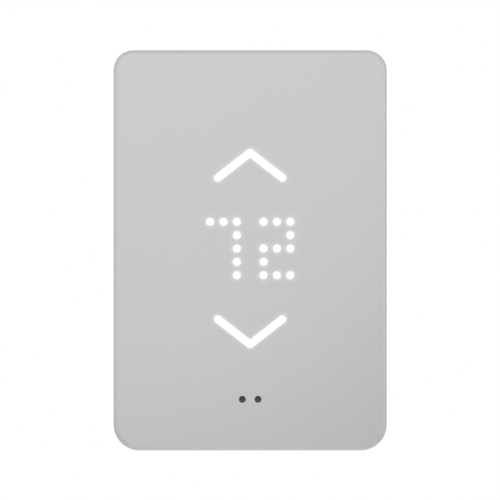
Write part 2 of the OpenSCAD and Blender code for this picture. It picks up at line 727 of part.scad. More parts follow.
module relay_armature() color("gray") {
    slab(hinge_x - coil_x + core_r + 2, yoke_w, armature_top - armature_t, armature_top,
        (hinge_x + coil_x - core_r - 2) / 2, relay_y);
}

module relay_blade() color("peru") {
    slab(coil_x - blade_tip, blade_w, blade_z - blade_t, blade_z, (coil_x + blade_tip) / 2, relay_y);
    rod_z(contact_r, blade_z - blade_t, blade_z + moving_contact_h, contact_at, relay_y);
}

module relay_fixed_contact() color("peru") {
    slab(blade_t * 2, blade_w, fixed_contact_z + 0.6, relay_floor, contact_at - 2, relay_y);
    slab(4.6, blade_w, fixed_contact_z + 0.6, fixed_contact_z + 1.2, contact_at, relay_y);
    rod_z(contact_r, fixed_contact_z, fixed_contact_z + 1.2, contact_at, relay_y);
}

// ---------------------------------------------------------------- mains parts behind the power board

film_d = 5;
transformer_x = -10.5;
transformer_y = (mains_y + film_d / 2 + relay_bottom) / 2; // midway between the mains row and the relay
transformer_w = 14;
transformer_d = 12;
transformer_h = 11.5;
can_y = (header_y + header_d / 2 + relay_bottom) / 2; // midway between the header and the relay

module transformer_core() color("dimgray") difference() {
    slab(transformer_w, transformer_d * 0.5, power_back - transformer_h, power_back,
        transformer_x, transformer_y);
    for (s = [-1, 1])
        slab(3.4, transformer_d, power_back - transformer_h + 2.4, power_back - 2.4,
            transformer_x + s * 3.6, transformer_y);
}

module transformer_winding() color("gold") difference() {
    slab(10.4, transformer_d, power_back - transformer_h + 2.6, power_back - 2.6,
        transformer_x, transformer_y);
    slab(4, transformer_d * 0.5 + 0.1, power_back - transformer_h, power_back, transformer_x, transformer_y);
    for (s = [-1, 1])
        slab(3, transformer_d * 0.5 + 0.1, power_back - transformer_h, power_back,
            transformer_x + s * (5.3 + 1.5), transformer_y);
}

module storage_capacitors() color("darkslateblue") for (x = [5.4, 15])
    difference() {
        rod_z(4.4, tub_floor + 1.4, power_back, x, can_y);
        slab(7, 0.5, tub_floor + 1, tub_floor + 1.7, x, can_y);
        slab(0.5, 7, tub_floor + 1, tub_floor + 1.7, x, can_y);
    }

module film_capacitor() color("khaki") slab(13, film_d, power_back - 11, power_back, -12.1, mains_y);

module varistor() color("royalblue") {
    rod_y(4.6, mains_y - 1.8, mains_y + 1.8, 3.6, power_back - 6.2);
    for (s = [-1, 1]) rod_z(0.4, power_back - 3, power_back, 3.6 + s * 2.5, mains_y - 0.8);
}

module thermal_fuse() color("lightgray") {
    rod_x(1.9, 9.6, 16.6, mains_y, power_back - 2.6);
    for (x = [8.8, 17.4]) rod_z(0.4, power_back - 2.6, power_back, x, mains_y);
    rod_x(0.4, 8.8, 17.4, mains_y, power_back - 2.6);
}

// ---------------------------------------------------------------- clamp screw

module screw_clip() color("darkgray") difference() {
    rod_y(clip_r, clip_bottom, clip_bottom + clip_t, 0, screw_z);
    rod_y(screw_r - clip_groove + 0.06, clip_bottom - eps, clip_bottom + clip_t + eps, 0, screw_z);
    block(-screw_r + clip_groove + 0.2, screw_r - clip_groove - 0.2, clip_bottom - eps,
        clip_bottom + clip_t + eps, screw_z, screw_z + clip_r + eps);
}

module clamp_screw() color("silver") difference() {
    union() {
        rod_y(screw_head_r, head_top - head_h, head_top, 0, screw_z);
        rod_y(screw_r, head_top - head_h / 2, screw_tip, 0, screw_z);
    }
    difference() {
        rod_y(screw_r + eps, clip_bottom - 0.1, clip_bottom + clip_t + 0.1, 0, screw_z);
        rod_y(screw_r - clip_groove, clip_bottom - eps, clip_bottom + clip_t + eps, 0, screw_z);
    }
    for (a = [0, 90]) translate([0, head_top - head_h, screw_z]) rotate([-90, 0, 0]) rotate(a)
        slab(3.2, 0.8, -eps, 1.2);
}

// ---------------------------------------------------------------- nodes

upright() front_cover();
upright() sensor_windows();
upright() dot_lenses();
upright() arrow_lens(1);  // arrow_lens_up
upright() arrow_lens(-1);  // arrow_lens_down
upright() diffuser_film();
upright() touch_pad(1);  // touch_pad_up
upright() touch_pad(-1);  // touch_pad_down
upright() touch_contacts();
upright() light_mask();
upright() display_board();
upright() digit_leds();
upright() arrow_leds();
upright() sensor_boot();
upright() proximity_sensors();
upright() radio_board();
upright() radio_shield();
upright() display_chips();
upright() socket();
upright() climate_board();
upright() climate_sensor();
upright() board_screws();
upright() wall_plate();
upright() clamp_insert();
upright() rear_housing();
upright() inner_cover();
upright() inner_cover_screws();
upright() power_board();
upright() pin_header_base();
upright() pin_header_pins();
upright() power_chips();
upright() terminal_blocks();
upright() terminal_screws();
upright() terminal_bars();
upright() relay_base();
upright() relay_case();
upright() relay_bobbin();
upright() relay_coil();
upright() relay_yoke();
upright() relay_fixed_contact();
upright() relay_armature();
upright() relay_blade();
upright() transformer_core();
upright() transformer_winding();
upright() storage_capacitors();
upright() film_capacitor();
upright() varistor();
upright() thermal_fuse();
upright() screw_clip();
upright() clamp_screw();
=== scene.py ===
# %% [markdown]
# # A wall thermostat, dressed for the camera
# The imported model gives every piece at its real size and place, and the bodies that the joints move.
# This script adds what a maker would call the finish: the moulded shell with its soft edges, the lit dots
# and strokes, the screws, the boards, and a material for each plastic, metal and laminate.
# All lengths are written in millimetres and turned into Blender's metres by one factor.

# %% Load the frame and the libraries
import json
from math import atan2, cos, hypot, pi, radians, sin

import bmesh
import bpy
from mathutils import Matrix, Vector

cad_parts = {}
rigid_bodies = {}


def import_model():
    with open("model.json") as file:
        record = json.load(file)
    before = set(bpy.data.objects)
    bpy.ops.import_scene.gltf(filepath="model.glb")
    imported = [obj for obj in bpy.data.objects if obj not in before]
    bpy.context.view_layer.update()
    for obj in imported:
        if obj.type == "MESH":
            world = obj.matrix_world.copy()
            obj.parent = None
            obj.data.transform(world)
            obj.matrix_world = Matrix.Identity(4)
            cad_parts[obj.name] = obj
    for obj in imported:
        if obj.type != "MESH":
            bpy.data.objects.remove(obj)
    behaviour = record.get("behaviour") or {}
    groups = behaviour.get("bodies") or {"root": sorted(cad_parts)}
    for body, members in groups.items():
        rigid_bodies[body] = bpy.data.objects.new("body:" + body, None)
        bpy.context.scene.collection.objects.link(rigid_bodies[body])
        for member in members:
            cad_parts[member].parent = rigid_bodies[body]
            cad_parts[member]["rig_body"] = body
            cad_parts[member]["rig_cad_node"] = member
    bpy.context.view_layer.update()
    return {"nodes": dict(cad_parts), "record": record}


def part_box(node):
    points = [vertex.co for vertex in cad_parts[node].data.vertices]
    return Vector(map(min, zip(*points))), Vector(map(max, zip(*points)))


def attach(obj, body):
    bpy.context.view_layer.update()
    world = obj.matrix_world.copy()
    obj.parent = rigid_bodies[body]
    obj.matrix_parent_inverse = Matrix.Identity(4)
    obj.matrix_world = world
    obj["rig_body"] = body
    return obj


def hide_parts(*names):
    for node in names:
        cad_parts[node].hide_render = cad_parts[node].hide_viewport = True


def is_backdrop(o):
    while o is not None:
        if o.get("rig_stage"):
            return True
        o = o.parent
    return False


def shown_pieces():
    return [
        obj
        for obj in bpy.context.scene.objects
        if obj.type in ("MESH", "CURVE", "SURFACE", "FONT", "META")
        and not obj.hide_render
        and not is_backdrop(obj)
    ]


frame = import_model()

MM = 0.001


# %% [markdown]
# ## Small tools for working by hand
# Blender's operators act on whatever is selected, and a freshly loaded model is selected all over.
# So every tool here first selects just one object. Faces and edges are then chosen by a test on their
# place or direction, the way one would box-select them in the viewport.

# %% Select one object, or some of its faces, edges or points
def pick(obj):
    bpy.ops.object.select_all(action="DESELECT")
    obj.select_set(True)
    bpy.context.view_layer.objects.active = obj
    return obj


def choose(obj, kind, test):
    """Opens the object in edit mode with only what passes the test selected. kind is VERT, EDGE or FACE."""
    pick(obj)
    bpy.ops.object.mode_set(mode="EDIT")
    bpy.ops.mesh.select_mode(type=kind)
    bpy.ops.mesh.select_all(action="DESELECT")
    mesh = bmesh.from_edit_mesh(obj.data)
    for item in {"VERT": mesh.verts, "EDGE": mesh.edges, "FACE": mesh.faces}[kind]:
        item.select_set(bool(test(item)))
    mesh.select_flush_mode()
    bmesh.update_edit_mesh(obj.data)


def close_edit():
    bpy.ops.object.mode_set(mode="OBJECT")


def middle(edge):
    return (edge.verts[0].co + edge.verts[1].co) / 2


def runs_along(edge, axis):
    """True where an edge runs along x, y or z (0, 1 or 2)."""
    line = edge.verts[1].co - edge.verts[0].co
    return abs(line[axis]) > 0.999 * line.length


print("selection tools ready")


# %% [markdown]
# ## Starting shapes
# A block or a rod is only a start: it is added at its size and place, and its corners are rounded at once,
# because real mouldings and stampings never have knife edges, and a rounded edge is what catches the light.

# %% Blocks, rods and rounded blocks, in millimetres
def take_name(name):
    obj = bpy.context.active_object
    obj.name = obj.data.name = name
    return obj


def settle(name):
    """Puts the active object's place, turn and scale into its mesh, and names it."""
    bpy.ops.object.transform_apply(location=True, rotation=True, scale=True)
    return take_name(name)


def unit_vector(axis):
    return Vector([float(a == axis) for a in "xyz"])


def bevel(obj, width, segments, test=lambda e: True):
    """Rounds the edges that pass the test."""
    choose(obj, "EDGE", test)
    bpy.ops.mesh.bevel(offset=width * MM, segments=segments, affect="EDGES")
    close_edit()
    return obj


def block(name, low, high, edge=0.0):
    """A box between two corners, with all its edges rounded by `edge`."""
    low, high = Vector(low) * MM, Vector(high) * MM
    bpy.ops.object.select_all(action="DESELECT")
    bpy.ops.mesh.primitive_cube_add(size=1, location=(low + high) / 2)
    bpy.ops.transform.resize(value=high - low)
    obj = settle(name)
    return bevel(obj, edge, 2) if edge else obj


TURNS = {"x": (0, pi / 2, 0), "y": (-pi / 2, 0, 0), "z": (0, 0, 0)}


def rod(name, radius, start, length, axis="y", steps=40, edge=0.0):
    """A round bar that leaves `start` along an axis. `edge` chamfers its two rims."""
    bpy.ops.object.select_all(action="DESELECT")
    bpy.ops.mesh.primitive_cylinder_add(
        vertices=steps, radius=radius * MM, depth=length * MM,
        location=(Vector(start) + unit_vector(axis) * length / 2) * MM, rotation=TURNS[axis])
    obj = settle(name)
    return bevel(obj, edge, 2, lambda e: not runs_along(e, "xyz".index(axis))) if edge else obj


def rounded_block(name, low, high, top=3.0, bottom=None, steps=10):
    """A box whose four edges that run into the wall (along y) are rounded, the top and bottom pair apart."""
    obj = block(name, low, high)
    half = (low[2] + high[2]) / 2 * MM
    for radius, upper in ((top, True), (top if bottom is None else bottom, False)):
        bevel(obj, radius, steps, lambda e: runs_along(e, 1) and (middle(e).z > half) == upper)
    return obj


def hollow(obj, side, wall, depth):
    """Presses a cavity into the face that looks along y = side, leaving a wall all round."""
    choose(obj, "FACE", lambda f: f.normal.y * side > 0.99)
    bpy.ops.mesh.inset(thickness=wall * MM)
    bpy.ops.mesh.extrude_region_move(TRANSFORM_OT_translate={"value": (0, -side * depth * MM, 0)})
    close_edit()
    return obj


def round_rim(obj, side, width, steps):
    """Rounds the outline of the face that looks along y = side."""
    def on_outline(e):
        return sorted(f.normal.y * side > 0.99 for f in e.link_faces) == [False, True]
    return bevel(obj, width, steps, on_outline)


print("starting shapes ready")


# %% [markdown]
# ## Joining, cutting and turning
# A boss is welded on and a slot is cut out with the Boolean modifier, applied at once so that the
# finished piece is a plain mesh. Round pieces are lathed: a profile is drawn point by point, by extruding
# one vertex, and then spun about its axis, as on a real lathe.

# %% Weld, cut, copy, lathe and finish
def apply_modifier(obj, kind, **settings):
    pick(obj)
    modifier = obj.modifiers.new(kind.title(), kind)
    for key, value in settings.items():
        setattr(modifier, key, value)
    bpy.ops.object.modifier_apply(modifier=modifier.name)
    return obj


def joined(name, parts):
    bpy.ops.object.select_all(action="DESELECT")
    for part in parts:
        part.select_set(True)
    bpy.context.view_layer.objects.active = parts[0]
    if len(parts) > 1:
        bpy.ops.object.join()
    return take_name(name)


def combine(obj, tools, operation, apart=True):
    """Welds on (UNION) or cuts out (DIFFERENCE) a list of tools, and throws the tools away.
    Tools that stand apart go together; tools that overlap each other (apart=False) go one by one."""
    for group in ([tools] if apart else [[tool] for tool in tools]):
        tool = joined("tool", group)
        apply_modifier(obj, "BOOLEAN", object=tool, operation=operation, solver="EXACT", use_self=False)
        bpy.data.objects.remove(tool)
    return obj


def copy_to(obj, name, offset):
    """A copy with its own mesh, moved by an offset in millimetres."""
    pick(obj)
    bpy.ops.object.duplicate()
    bpy.ops.transform.translate(value=Vector(offset) * MM)
    return settle(name)


def draw_line(name, points):
    """Draws a chain of points (millimetres) by extruding one vertex, and leaves it selected in edit mode."""
    place = [Vector(point) * MM for point in points]
    bpy.ops.object.select_all(action="DESELECT")
    bpy.ops.mesh.primitive_plane_add(size=MM, location=place[0])
    obj = settle(name)
    choose(obj, "VERT", lambda v: True)
    bpy.ops.mesh.merge(type="CENTER")
    for before, after in zip(place, place[1:]):
        bpy.ops.mesh.extrude_vertices_move(TRANSFORM_OT_translate={"value": after - before})
    bpy.ops.mesh.select_all(action="SELECT")
    return obj


def close_outwards():
    """Turns all the normals of the open edit outwards, and closes it."""
    bpy.ops.mesh.select_all(action="SELECT")
    bpy.ops.mesh.normals_make_consistent(inside=False)
    close_edit()


def lathe(name, profile, origin, axis="y", steps=48):
    """Spins a profile of (radius, distance along the axis) points about an axis through origin."""
    aim, out = unit_vector(axis), unit_vector("x" if axis == "z" else "z")
    obj = draw_line(name, [Vector(origin) + out * r + aim * d for r, d in profile])
    bpy.ops.mesh.spin(steps=steps, angle=2 * pi, center=Vector(origin) * MM, axis=aim)
    bpy.ops.mesh.select_all(action="SELECT")
    bpy.ops.mesh.remove_doubles(threshold=1e-7)
    close_outwards()
    return obj


def smooth(obj, angle):
    """Smooth shading that stays crisp at real edges, with flat faces kept truly flat."""
    pick(obj)
    bpy.ops.object.shade_smooth_by_angle(angle=radians(angle))
    return apply_modifier(obj, "WEIGHTED_NORMAL", keep_sharp=True, weight=80)


pieces_made = []


def seat(obj, body, slot, *replaced, finish=None, soft=None):
    """Puts a finished piece on its body in its finish, and hides the CAD nodes that it replaces.
    Where `soft` is given, faces that meet at less than that angle are shaded as one."""
    if soft:
        smooth(obj, soft)
    obj.data.materials.clear()
    obj.data.materials.append(finishes[finish or slot])
    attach(obj, body)
    if replaced:
        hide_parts(*replaced)
    pieces_made.append(obj)
    print(f"{obj.name}: {len(obj.data.polygons)} faces on {body}")
    return obj


# %% [markdown]
# ## How the finishes are built
# A pattern that several finishes share, such as the fine grain that a spark-cut mould leaves, is made once
# as a node group with named inputs. Each material then places the group with its own values. The groups
# give out only colours and numbers, and the shader itself stays in the material, so that another program
# can read it.

# %% A node group and its wiring
def put(tree, socket, value):
    """Gives a socket a value, or a link from another socket."""
    if isinstance(value, bpy.types.NodeSocket):
        tree.links.new(value, socket)
    else:
        socket.default_value = value


def new_group(name, inputs, outputs=("Colour", "Roughness", "Height")):
    """Starts a node group. inputs is {name: default}, and a name with Colour in it is a colour.
    Gives the tree, the sockets of its inputs, and a function that wires its outputs by name."""
    tree = bpy.data.node_groups.new(name, "ShaderNodeTree")

    def add_socket(key, side):
        kind = "NodeSocketColor" if "Colour" in key else "NodeSocketFloat"
        return tree.interface.new_socket(key, in_out=side, socket_type=kind)

    for key, value in inputs.items():
        add_socket(key, "INPUT").default_value = value
    for key in outputs:
        add_socket(key, "OUTPUT")
    given, ends = tree.nodes.new("NodeGroupInput").outputs, tree.nodes.new("NodeGroupOutput").inputs

    def result(**sockets):
        for key, socket in sockets.items():
            put(tree, ends[key], socket)
    return tree, given, result


def calc(tree, operation, *values, clamp=False):
    node = tree.nodes.new("ShaderNodeMath")
    node.operation = operation
    node.use_clamp = clamp
    for socket, value in zip(node.inputs, values):
        put(tree, socket, value)
    return node.outputs[0]


def blend_colour(tree, share, first, second):
    node = tree.nodes.new("ShaderNodeMix")
    node.data_type = "RGBA"
    for socket, value in zip((node.inputs[0], node.inputs[6], node.inputs[7]), (share, first, second)):
        put(tree, socket, value)
    return node.outputs[2]


def own_place(tree):
    """The object's own coordinates, in metres."""
    return tree.nodes.new("ShaderNodeTexCoord").outputs["Object"]


def own_xyz(tree):
    split = tree.nodes.new("ShaderNodeSeparateXYZ")
    tree.links.new(own_place(tree), split.inputs[0])
    return split.outputs


def shaded(tree, colour, value):
    """A colour made lighter or darker by a factor."""
    node = tree.nodes.new("ShaderNodeHueSaturation")
    put(tree, node.inputs["Color"], colour)
    put(tree, node.inputs["Value"], value)
    return node.outputs[0]


def about_half(tree, value):
    """Moves a pattern of 0 to 1 down to -0.5 to 0.5."""
    return calc(tree, "SUBTRACT", value, 0.5)


def noise(tree, scale, detail=2.0, stretch=(1, 1, 1)):
    """Noise over the object's own coordinates, stretched along an axis where asked."""
    where = own_place(tree)
    if stretch != (1, 1, 1):
        mapping = tree.nodes.new("ShaderNodeMapping")
        mapping.inputs["Scale"].default_value = stretch
        tree.links.new(where, mapping.inputs["Vector"])
        where = mapping.outputs[0]
    node = tree.nodes.new("ShaderNodeTexNoise")
    tree.links.new(where, node.inputs["Vector"])
    put(tree, node.inputs["Scale"], scale)
    node.inputs["Detail"].default_value = detail
    return node.outputs["Fac"]


print("node helpers ready")


# %% [markdown]
# ## Shared effects
# *Mould grain* is the finish of every plastic part: slow, very slight cloudiness in the colour, a fine
# grain in the height, and a roughness that wanders with both. *Worked metal* has streaks along one
# direction, from rolling, drawing or turning.

# %% Mould grain
def make_mould_grain():
    tree, given, result = new_group(
        "mould grain",
        {"Colour": (0.5, 0.5, 0.5, 1), "Cloudiness": 0.02, "Grain scale": 3200.0, "Roughness": 0.5,
         "Roughness spread": 0.06})
    cloud = about_half(tree, noise(tree, 45.0, 3.0))
    grain = noise(tree, given["Grain scale"], 2.0)
    result(Colour=shaded(tree, given["Colour"], calc(tree, "MULTIPLY_ADD", cloud, given["Cloudiness"], 1.0)),
           Roughness=calc(tree, "MULTIPLY_ADD", calc(tree, "ADD", cloud, about_half(tree, grain)),
                          given["Roughness spread"], given["Roughness"]),
           Height=grain)
    return tree


mould_grain = make_mould_grain()
print("group:", mould_grain.name)


# %% Worked metal
def make_worked_metal():
    tree, given, result = new_group(
        "worked metal", {"Colour": (0.7, 0.7, 0.7, 1), "Streak": 0.12,
                         "Roughness": 0.3, "Roughness spread": 0.15})
    streak = noise(tree, 900.0, 3.0, stretch=(0.12, 1, 1))
    stain = about_half(tree, noise(tree, 160.0, 4.0))
    shade = calc(tree, "MULTIPLY_ADD", about_half(tree, streak), given["Streak"], 1.0)
    result(Colour=shaded(tree, given["Colour"], calc(tree, "MULTIPLY_ADD", stain, 0.12, shade)),
           Roughness=calc(tree, "MULTIPLY_ADD", stain, given["Roughness spread"], given["Roughness"]),
           Height=streak)
    return tree


worked_metal = make_worked_metal()
print("group:", worked_metal.name)


# %% [markdown]
# ## Turning a group into a finish
# Each finish is a Principled shader that takes its colour and roughness from a group, and its normal from a
# Bump node fed by the group's height. What is the same all over, such as the coat or the metalness, is set
# on the shader's own socket.

# %% A finish from a group
finishes = {}


def new_finish(name, **shader_values):
    material = bpy.data.materials.new(name)
    material.use_nodes = True
    tree = material.node_tree
    shader = tree.nodes["Principled BSDF"]
    for key, value in shader_values.items():
        shader.inputs[key.replace("_", " ")].default_value = value
    finishes[name] = material
    return tree, shader


def place_group(tree, group, **values):
    node = tree.nodes.new("ShaderNodeGroup")
    node.node_tree = group
    for key, value in values.items():
        put(tree, node.inputs[key.replace("_", " ")], value)
    return node


def wire(tree, shader, source, bump, depth):
    """Colour, roughness and height of a group, onto the shader."""
    tree.links.new(source.outputs["Colour"], shader.inputs["Base Color"])
    tree.links.new(source.outputs["Roughness"], shader.inputs["Roughness"])
    node = tree.nodes.new("ShaderNodeBump")
    node.inputs["Strength"].default_value = bump
    node.inputs["Distance"].default_value = depth * MM
    tree.links.new(source.outputs["Height"], node.inputs["Height"])
    tree.links.new(node.outputs[0], shader.inputs["Normal"])


def plastic(name, colour, roughness=0.5, cloudiness=0.05, grain=3200.0, bump=0.25, **shader_values):
    tree, shader = new_finish(name, **shader_values)
    source = place_group(tree, mould_grain, Colour=(*colour, 1), Cloudiness=cloudiness, Grain_scale=grain,
                         Roughness=roughness)
    wire(tree, shader, source, bump, 0.02)
    return tree, shader


def metal(name, colour, roughness=0.3, streak=0.12, bump=0.15, **shader_values):
    tree, shader = new_finish(name, Metallic=1.0, **shader_values)
    source = place_group(tree, worked_metal, Colour=(*colour, 1), Streak=streak, Roughness=roughness)
    wire(tree, shader, source, bump, 0.01)


# %% [markdown]
# ## Plastics
# The shell is a light grey, fine-grained, matte moulding. The wall plate and the lid are the same kind of
# plastic a shade whiter, and what goes into the wiring box is a flame-proof black.

# %% The plastics
plastic("plate_plastic", (0.72, 0.72, 0.71), 0.48, grain=2600.0)
plastic("lid_plastic", (0.66, 0.66, 0.655), 0.52, grain=2600.0)
plastic("housing_plastic", (0.030, 0.030, 0.032), 0.46, cloudiness=0.35, grain=2200.0, bump=0.4)
plastic("black_plastic", (0.018, 0.018, 0.020), 0.42, cloudiness=0.4, bump=0.3)
plastic("boot_rubber", (0.022, 0.022, 0.022), 0.72, cloudiness=0.3, bump=0.5)
plastic("chip_epoxy", (0.024, 0.024, 0.026), 0.50, cloudiness=0.5, grain=5200.0, bump=0.5)
plastic("terminal_plastic", (0.030, 0.20, 0.075), 0.42, cloudiness=0.2)
plastic("relay_plastic", (0.012, 0.020, 0.052), 0.34, cloudiness=0.2, bump=0.12)
plastic("bobbin_nylon", (0.74, 0.69, 0.54), 0.45, cloudiness=0.12)
plastic("white_film", (0.84, 0.84, 0.84), 0.55, cloudiness=0.03)
plastic("sensor_body", (0.66, 0.67, 0.69), 0.45, cloudiness=0.06)
plastic("led_body", (0.84, 0.76, 0.36), 0.34, cloudiness=0.15, bump=0.1)
plastic("ferrite", (0.030, 0.030, 0.032), 0.62, cloudiness=0.5, grain=1800.0, bump=0.7)
plastic("capacitor_sleeve", (0.012, 0.018, 0.060), 0.30, cloudiness=0.15, bump=0.1, Coat_Weight=0.35)
plastic("film_capacitor_case", (0.66, 0.46, 0.060), 0.32, cloudiness=0.1, bump=0.1)
plastic("varistor_epoxy", (0.020, 0.075, 0.27), 0.40, cloudiness=0.35, grain=900.0, bump=0.6)
plastic("smoked_lens", (0.034, 0.034, 0.036), 0.55, cloudiness=0.3, bump=0.02)
print("plastics:", len(finishes))

# %% [markdown]
# ## Metals
# Screws are bright zinc, the header and the touch springs are gold flash, and the current-carrying bars are
# bare copper. They share one group and differ in colour, streak and roughness.

# %% The metals
metal("screw_steel", (0.62, 0.62, 0.61), 0.30, streak=0.10)
metal("spring_steel", (0.20, 0.20, 0.21), 0.38, streak=0.20)
metal("tinned_steel", (0.60, 0.61, 0.62), 0.34, streak=0.18)
metal("soft_iron", (0.44, 0.45, 0.46), 0.36, streak=0.15)
metal("fuse_metal", (0.62, 0.61, 0.57), 0.32, streak=0.10)
metal("gold_plate", (0.86, 0.62, 0.22), 0.24, streak=0.06)
metal("insert_brass", (0.72, 0.52, 0.19), 0.30, streak=0.20)
metal("bare_copper", (0.72, 0.33, 0.17), 0.33, streak=0.22)
metal("copper_film", (0.70, 0.34, 0.19), 0.40, streak=0.10)
metal("contact_alloy", (0.72, 0.46, 0.27), 0.32, streak=0.15)
print("finishes so far:", len(finishes))

# %% [markdown]
# ## Boards, windings and light
# Three more patterns. *Printed tracks* are the copper lines seen through a board's lacquer, slightly
# raised and lighter. *Laid turns* are the wires of a coil, side by side along its axis, with painted shade
# in the grooves between them. The glow is different: the lit marks shine through a thin skin, so a little
# light also spreads sideways in the plastic around them. It is worked out as the distance to the nearest lit
# mark.

# %% Printed tracks
def make_tracks():
    tree, given, result = new_group(
        "printed tracks", {"Lacquer Colour": (0, 0.1, 0.03, 1), "Track Colour": (0.03, 0.2, 0.07, 1)})
    squares = tree.nodes.new("ShaderNodeTexVoronoi")
    squares.feature, squares.distance = "F1", "CHEBYCHEV"
    squares.inputs["Scale"].default_value = 220.0
    tree.links.new(own_place(tree), squares.inputs["Vector"])
    ring = calc(tree, "PINGPONG", squares.outputs["Distance"], 0.13)
    track = calc(tree, "MULTIPLY", calc(tree, "SUBTRACT", ring, 0.075), 40.0, clamp=True)
    result(Colour=blend_colour(tree, track, given["Lacquer Colour"], given["Track Colour"]),
           Roughness=calc(tree, "MULTIPLY_ADD", noise(tree, 120.0, 3.0), 0.14, 0.24), Height=track)
    return tree


printed_tracks = make_tracks()
print("group:", printed_tracks.name)


# %% Laid turns
def make_turns():
    # The last input sets how dark the painted shade in the grooves between turns is.
    tree, given, result = new_group(
        "laid turns", {"Colour": (0.5, 0.2, 0.1, 1), "Turns per metre": 4000.0, "Shade": 0.5})
    phase = calc(tree, "MULTIPLY", own_xyz(tree)["Y"], given["Turns per metre"])
    wave = calc(tree, "ABSOLUTE", calc(tree, "SINE", calc(tree, "MULTIPLY", phase, pi)))
    crown = calc(tree, "POWER", wave, 0.5)
    uneven = calc(tree, "MULTIPLY_ADD", noise(tree, 300.0, 3.0), 0.3, 0.85)
    # Colour darker towards the groove between each pair of turns: painted shade, times a random unevenness in
    # tone.
    shade = calc(tree, "MULTIPLY", uneven, calc(
        tree, "MULTIPLY_ADD", calc(tree, "SUBTRACT", crown, 1.0), given["Shade"], 1.0))
    result(Colour=shaded(tree, given["Colour"], shade),
           Roughness=calc(tree, "MULTIPLY_ADD", crown, -0.15, 0.5), Height=crown)
    return tree


laid_turns = make_turns()


def grouped(name, group, bump, depth, values, **shader_values):
    """A finish that takes everything from one group."""
    tree, shader = new_finish(name, **shader_values)
    wire(tree, shader, place_group(tree, group, **values), bump, depth)


grouped("board_laminate", printed_tracks, 0.5, 0.05,
        {"Lacquer_Colour": (0.006, 0.085, 0.032, 1), "Track_Colour": (0.012, 0.16, 0.06, 1)}, Coat_Weight=0.3)
grouped("radio_laminate", printed_tracks, 0.5, 0.05,
        {"Lacquer_Colour": (0.004, 0.012, 0.06, 1), "Track_Colour": (0.008, 0.03, 0.13, 1)}, Coat_Weight=0.3)
# The coil wire and the tape both get painted shade in the grooves between their turns.
grouped("enamel_wire", laid_turns, 0.8, 0.1,
        {"Colour": (0.42, 0.12, 0.035, 1), "Turns_per_metre": 7000.0, "Shade": 0.6}, Metallic=0.6)
grouped("winding_tape", laid_turns, 0.3, 0.05,
        {"Colour": (0.72, 0.46, 0.03, 1), "Turns_per_metre": 420.0, "Shade": 0.2}, Coat_Weight=0.4)
print("group:", laid_turns.name)

# %% [markdown]
# ## The display's layout
# The digits stand on a grid of five rows and three columns each, with one empty column between them, and an
# arrow points away from them above and below. Two digits are lit, as dots; the dots that aren't lit can't
# be seen through the skin at all.

# %% Sizes of the cover and the display, in millimetres
low, high = (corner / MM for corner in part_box("front_cover"))
half_w, half_h = high.x, high.z
face_y, rim_y = low.y, high.y
wall_thickness, face_thickness, skin = 2.0, 2.2, 0.7
face_in_y = face_y + face_thickness

display_z, dot_pitch, dot_r = 0.6, 4.35, 1.4
arrow_foot, arrow_half_w, arrow_h, stroke_half = 23.0, 10.5, 8.2, 1.35
eye_x, eye_z, eye_r = 2.55, low.z + 16.7, 1.1

SEVEN = ["###", "  #", "  #", "  #", "  #"]
TWO = ["###", "  #", "###", "#  ", "###"]


def dot_place(column, row):
    return column * dot_pitch, display_z + row * dot_pitch


all_dots = [dot_place(c, r) for c in (-3, -2, -1, 1, 2, 3) for r in range(-2, 3)]
lit_dots = [dot_place(first + c, 2 - r)
            for first, digit in ((-3, SEVEN), (1, TWO))
            for r, line in enumerate(digit) for c, mark in enumerate(line) if mark == "#"]
lit_arrows = [[(-arrow_half_w, display_z + side * arrow_foot), (0, display_z + side * (arrow_foot + arrow_h)),
               (arrow_half_w, display_z + side * arrow_foot)] for side in (1, -1)]
print(f"cover {2 * half_w:.1f} x {2 * half_h:.1f} mm, {len(lit_dots)} of {len(all_dots)} dots lit")


# %% The glow in the skin
def make_glow():
    """Glow is 1 at the rim of a lit mark and falls to 0 at Reach metres outside it. Core is 0 at the rim and
    rises to 1 at Soft edge metres inside it."""
    tree, given, result = new_group(
        "glow in the skin", {"Reach": 0.0015, "Soft edge": 0.0006}, outputs=("Glow", "Core"))
    x, y, z = own_xyz(tree)

    def distance(dx, dz):
        squares = [calc(tree, "MULTIPLY", d, d) for d in (dx, dz)]
        return calc(tree, "SQRT", calc(tree, "ADD", *squares))

    nearest = None
    for px, pz in lit_dots:
        rim = calc(tree, "SUBTRACT", distance(calc(tree, "SUBTRACT", x, px * MM),
                                              calc(tree, "SUBTRACT", z, pz * MM)), dot_r * MM)
        nearest = rim if nearest is None else calc(tree, "MINIMUM", nearest, rim)
    for left, apex, right in lit_arrows:
        run, rise = right[0] - apex[0], right[1] - apex[1]
        length = hypot(run, rise)
        across = calc(tree, "ABSOLUTE", x)
        up = calc(tree, "SUBTRACT", z, apex[1] * MM)
        along = calc(tree, "ADD", calc(tree, "MULTIPLY", across, run / length),
                     calc(tree, "MULTIPLY", up, rise / length))
        along = calc(tree, "MINIMUM", calc(tree, "MAXIMUM", along, 0.0), length * MM)
        foot = distance(
            calc(tree, "SUBTRACT", across, calc(tree, "MULTIPLY", along, run / length)),
            calc(tree, "SUBTRACT", up, calc(tree, "MULTIPLY", along, rise / length)))
        nearest = calc(tree, "MINIMUM", nearest, calc(tree, "SUBTRACT", foot, stroke_half * MM))
    fade = calc(tree, "SUBTRACT", 1.0, calc(tree, "DIVIDE", nearest, given["Reach"]), clamp=True)
    fade = calc(tree, "MULTIPLY", fade, fade)
    on_face = calc(tree, "LESS_THAN", y, (face_y + 0.3) * MM)
    inwards = calc(tree, "MULTIPLY", nearest, -1.0)
    result(Glow=calc(tree, "MULTIPLY", fade, on_face),
           Core=calc(tree, "DIVIDE", inwards, given["Soft edge"], clamp=True))
    return tree


glow_in_skin = make_glow()
print("glow nodes:", len(glow_in_skin.nodes))

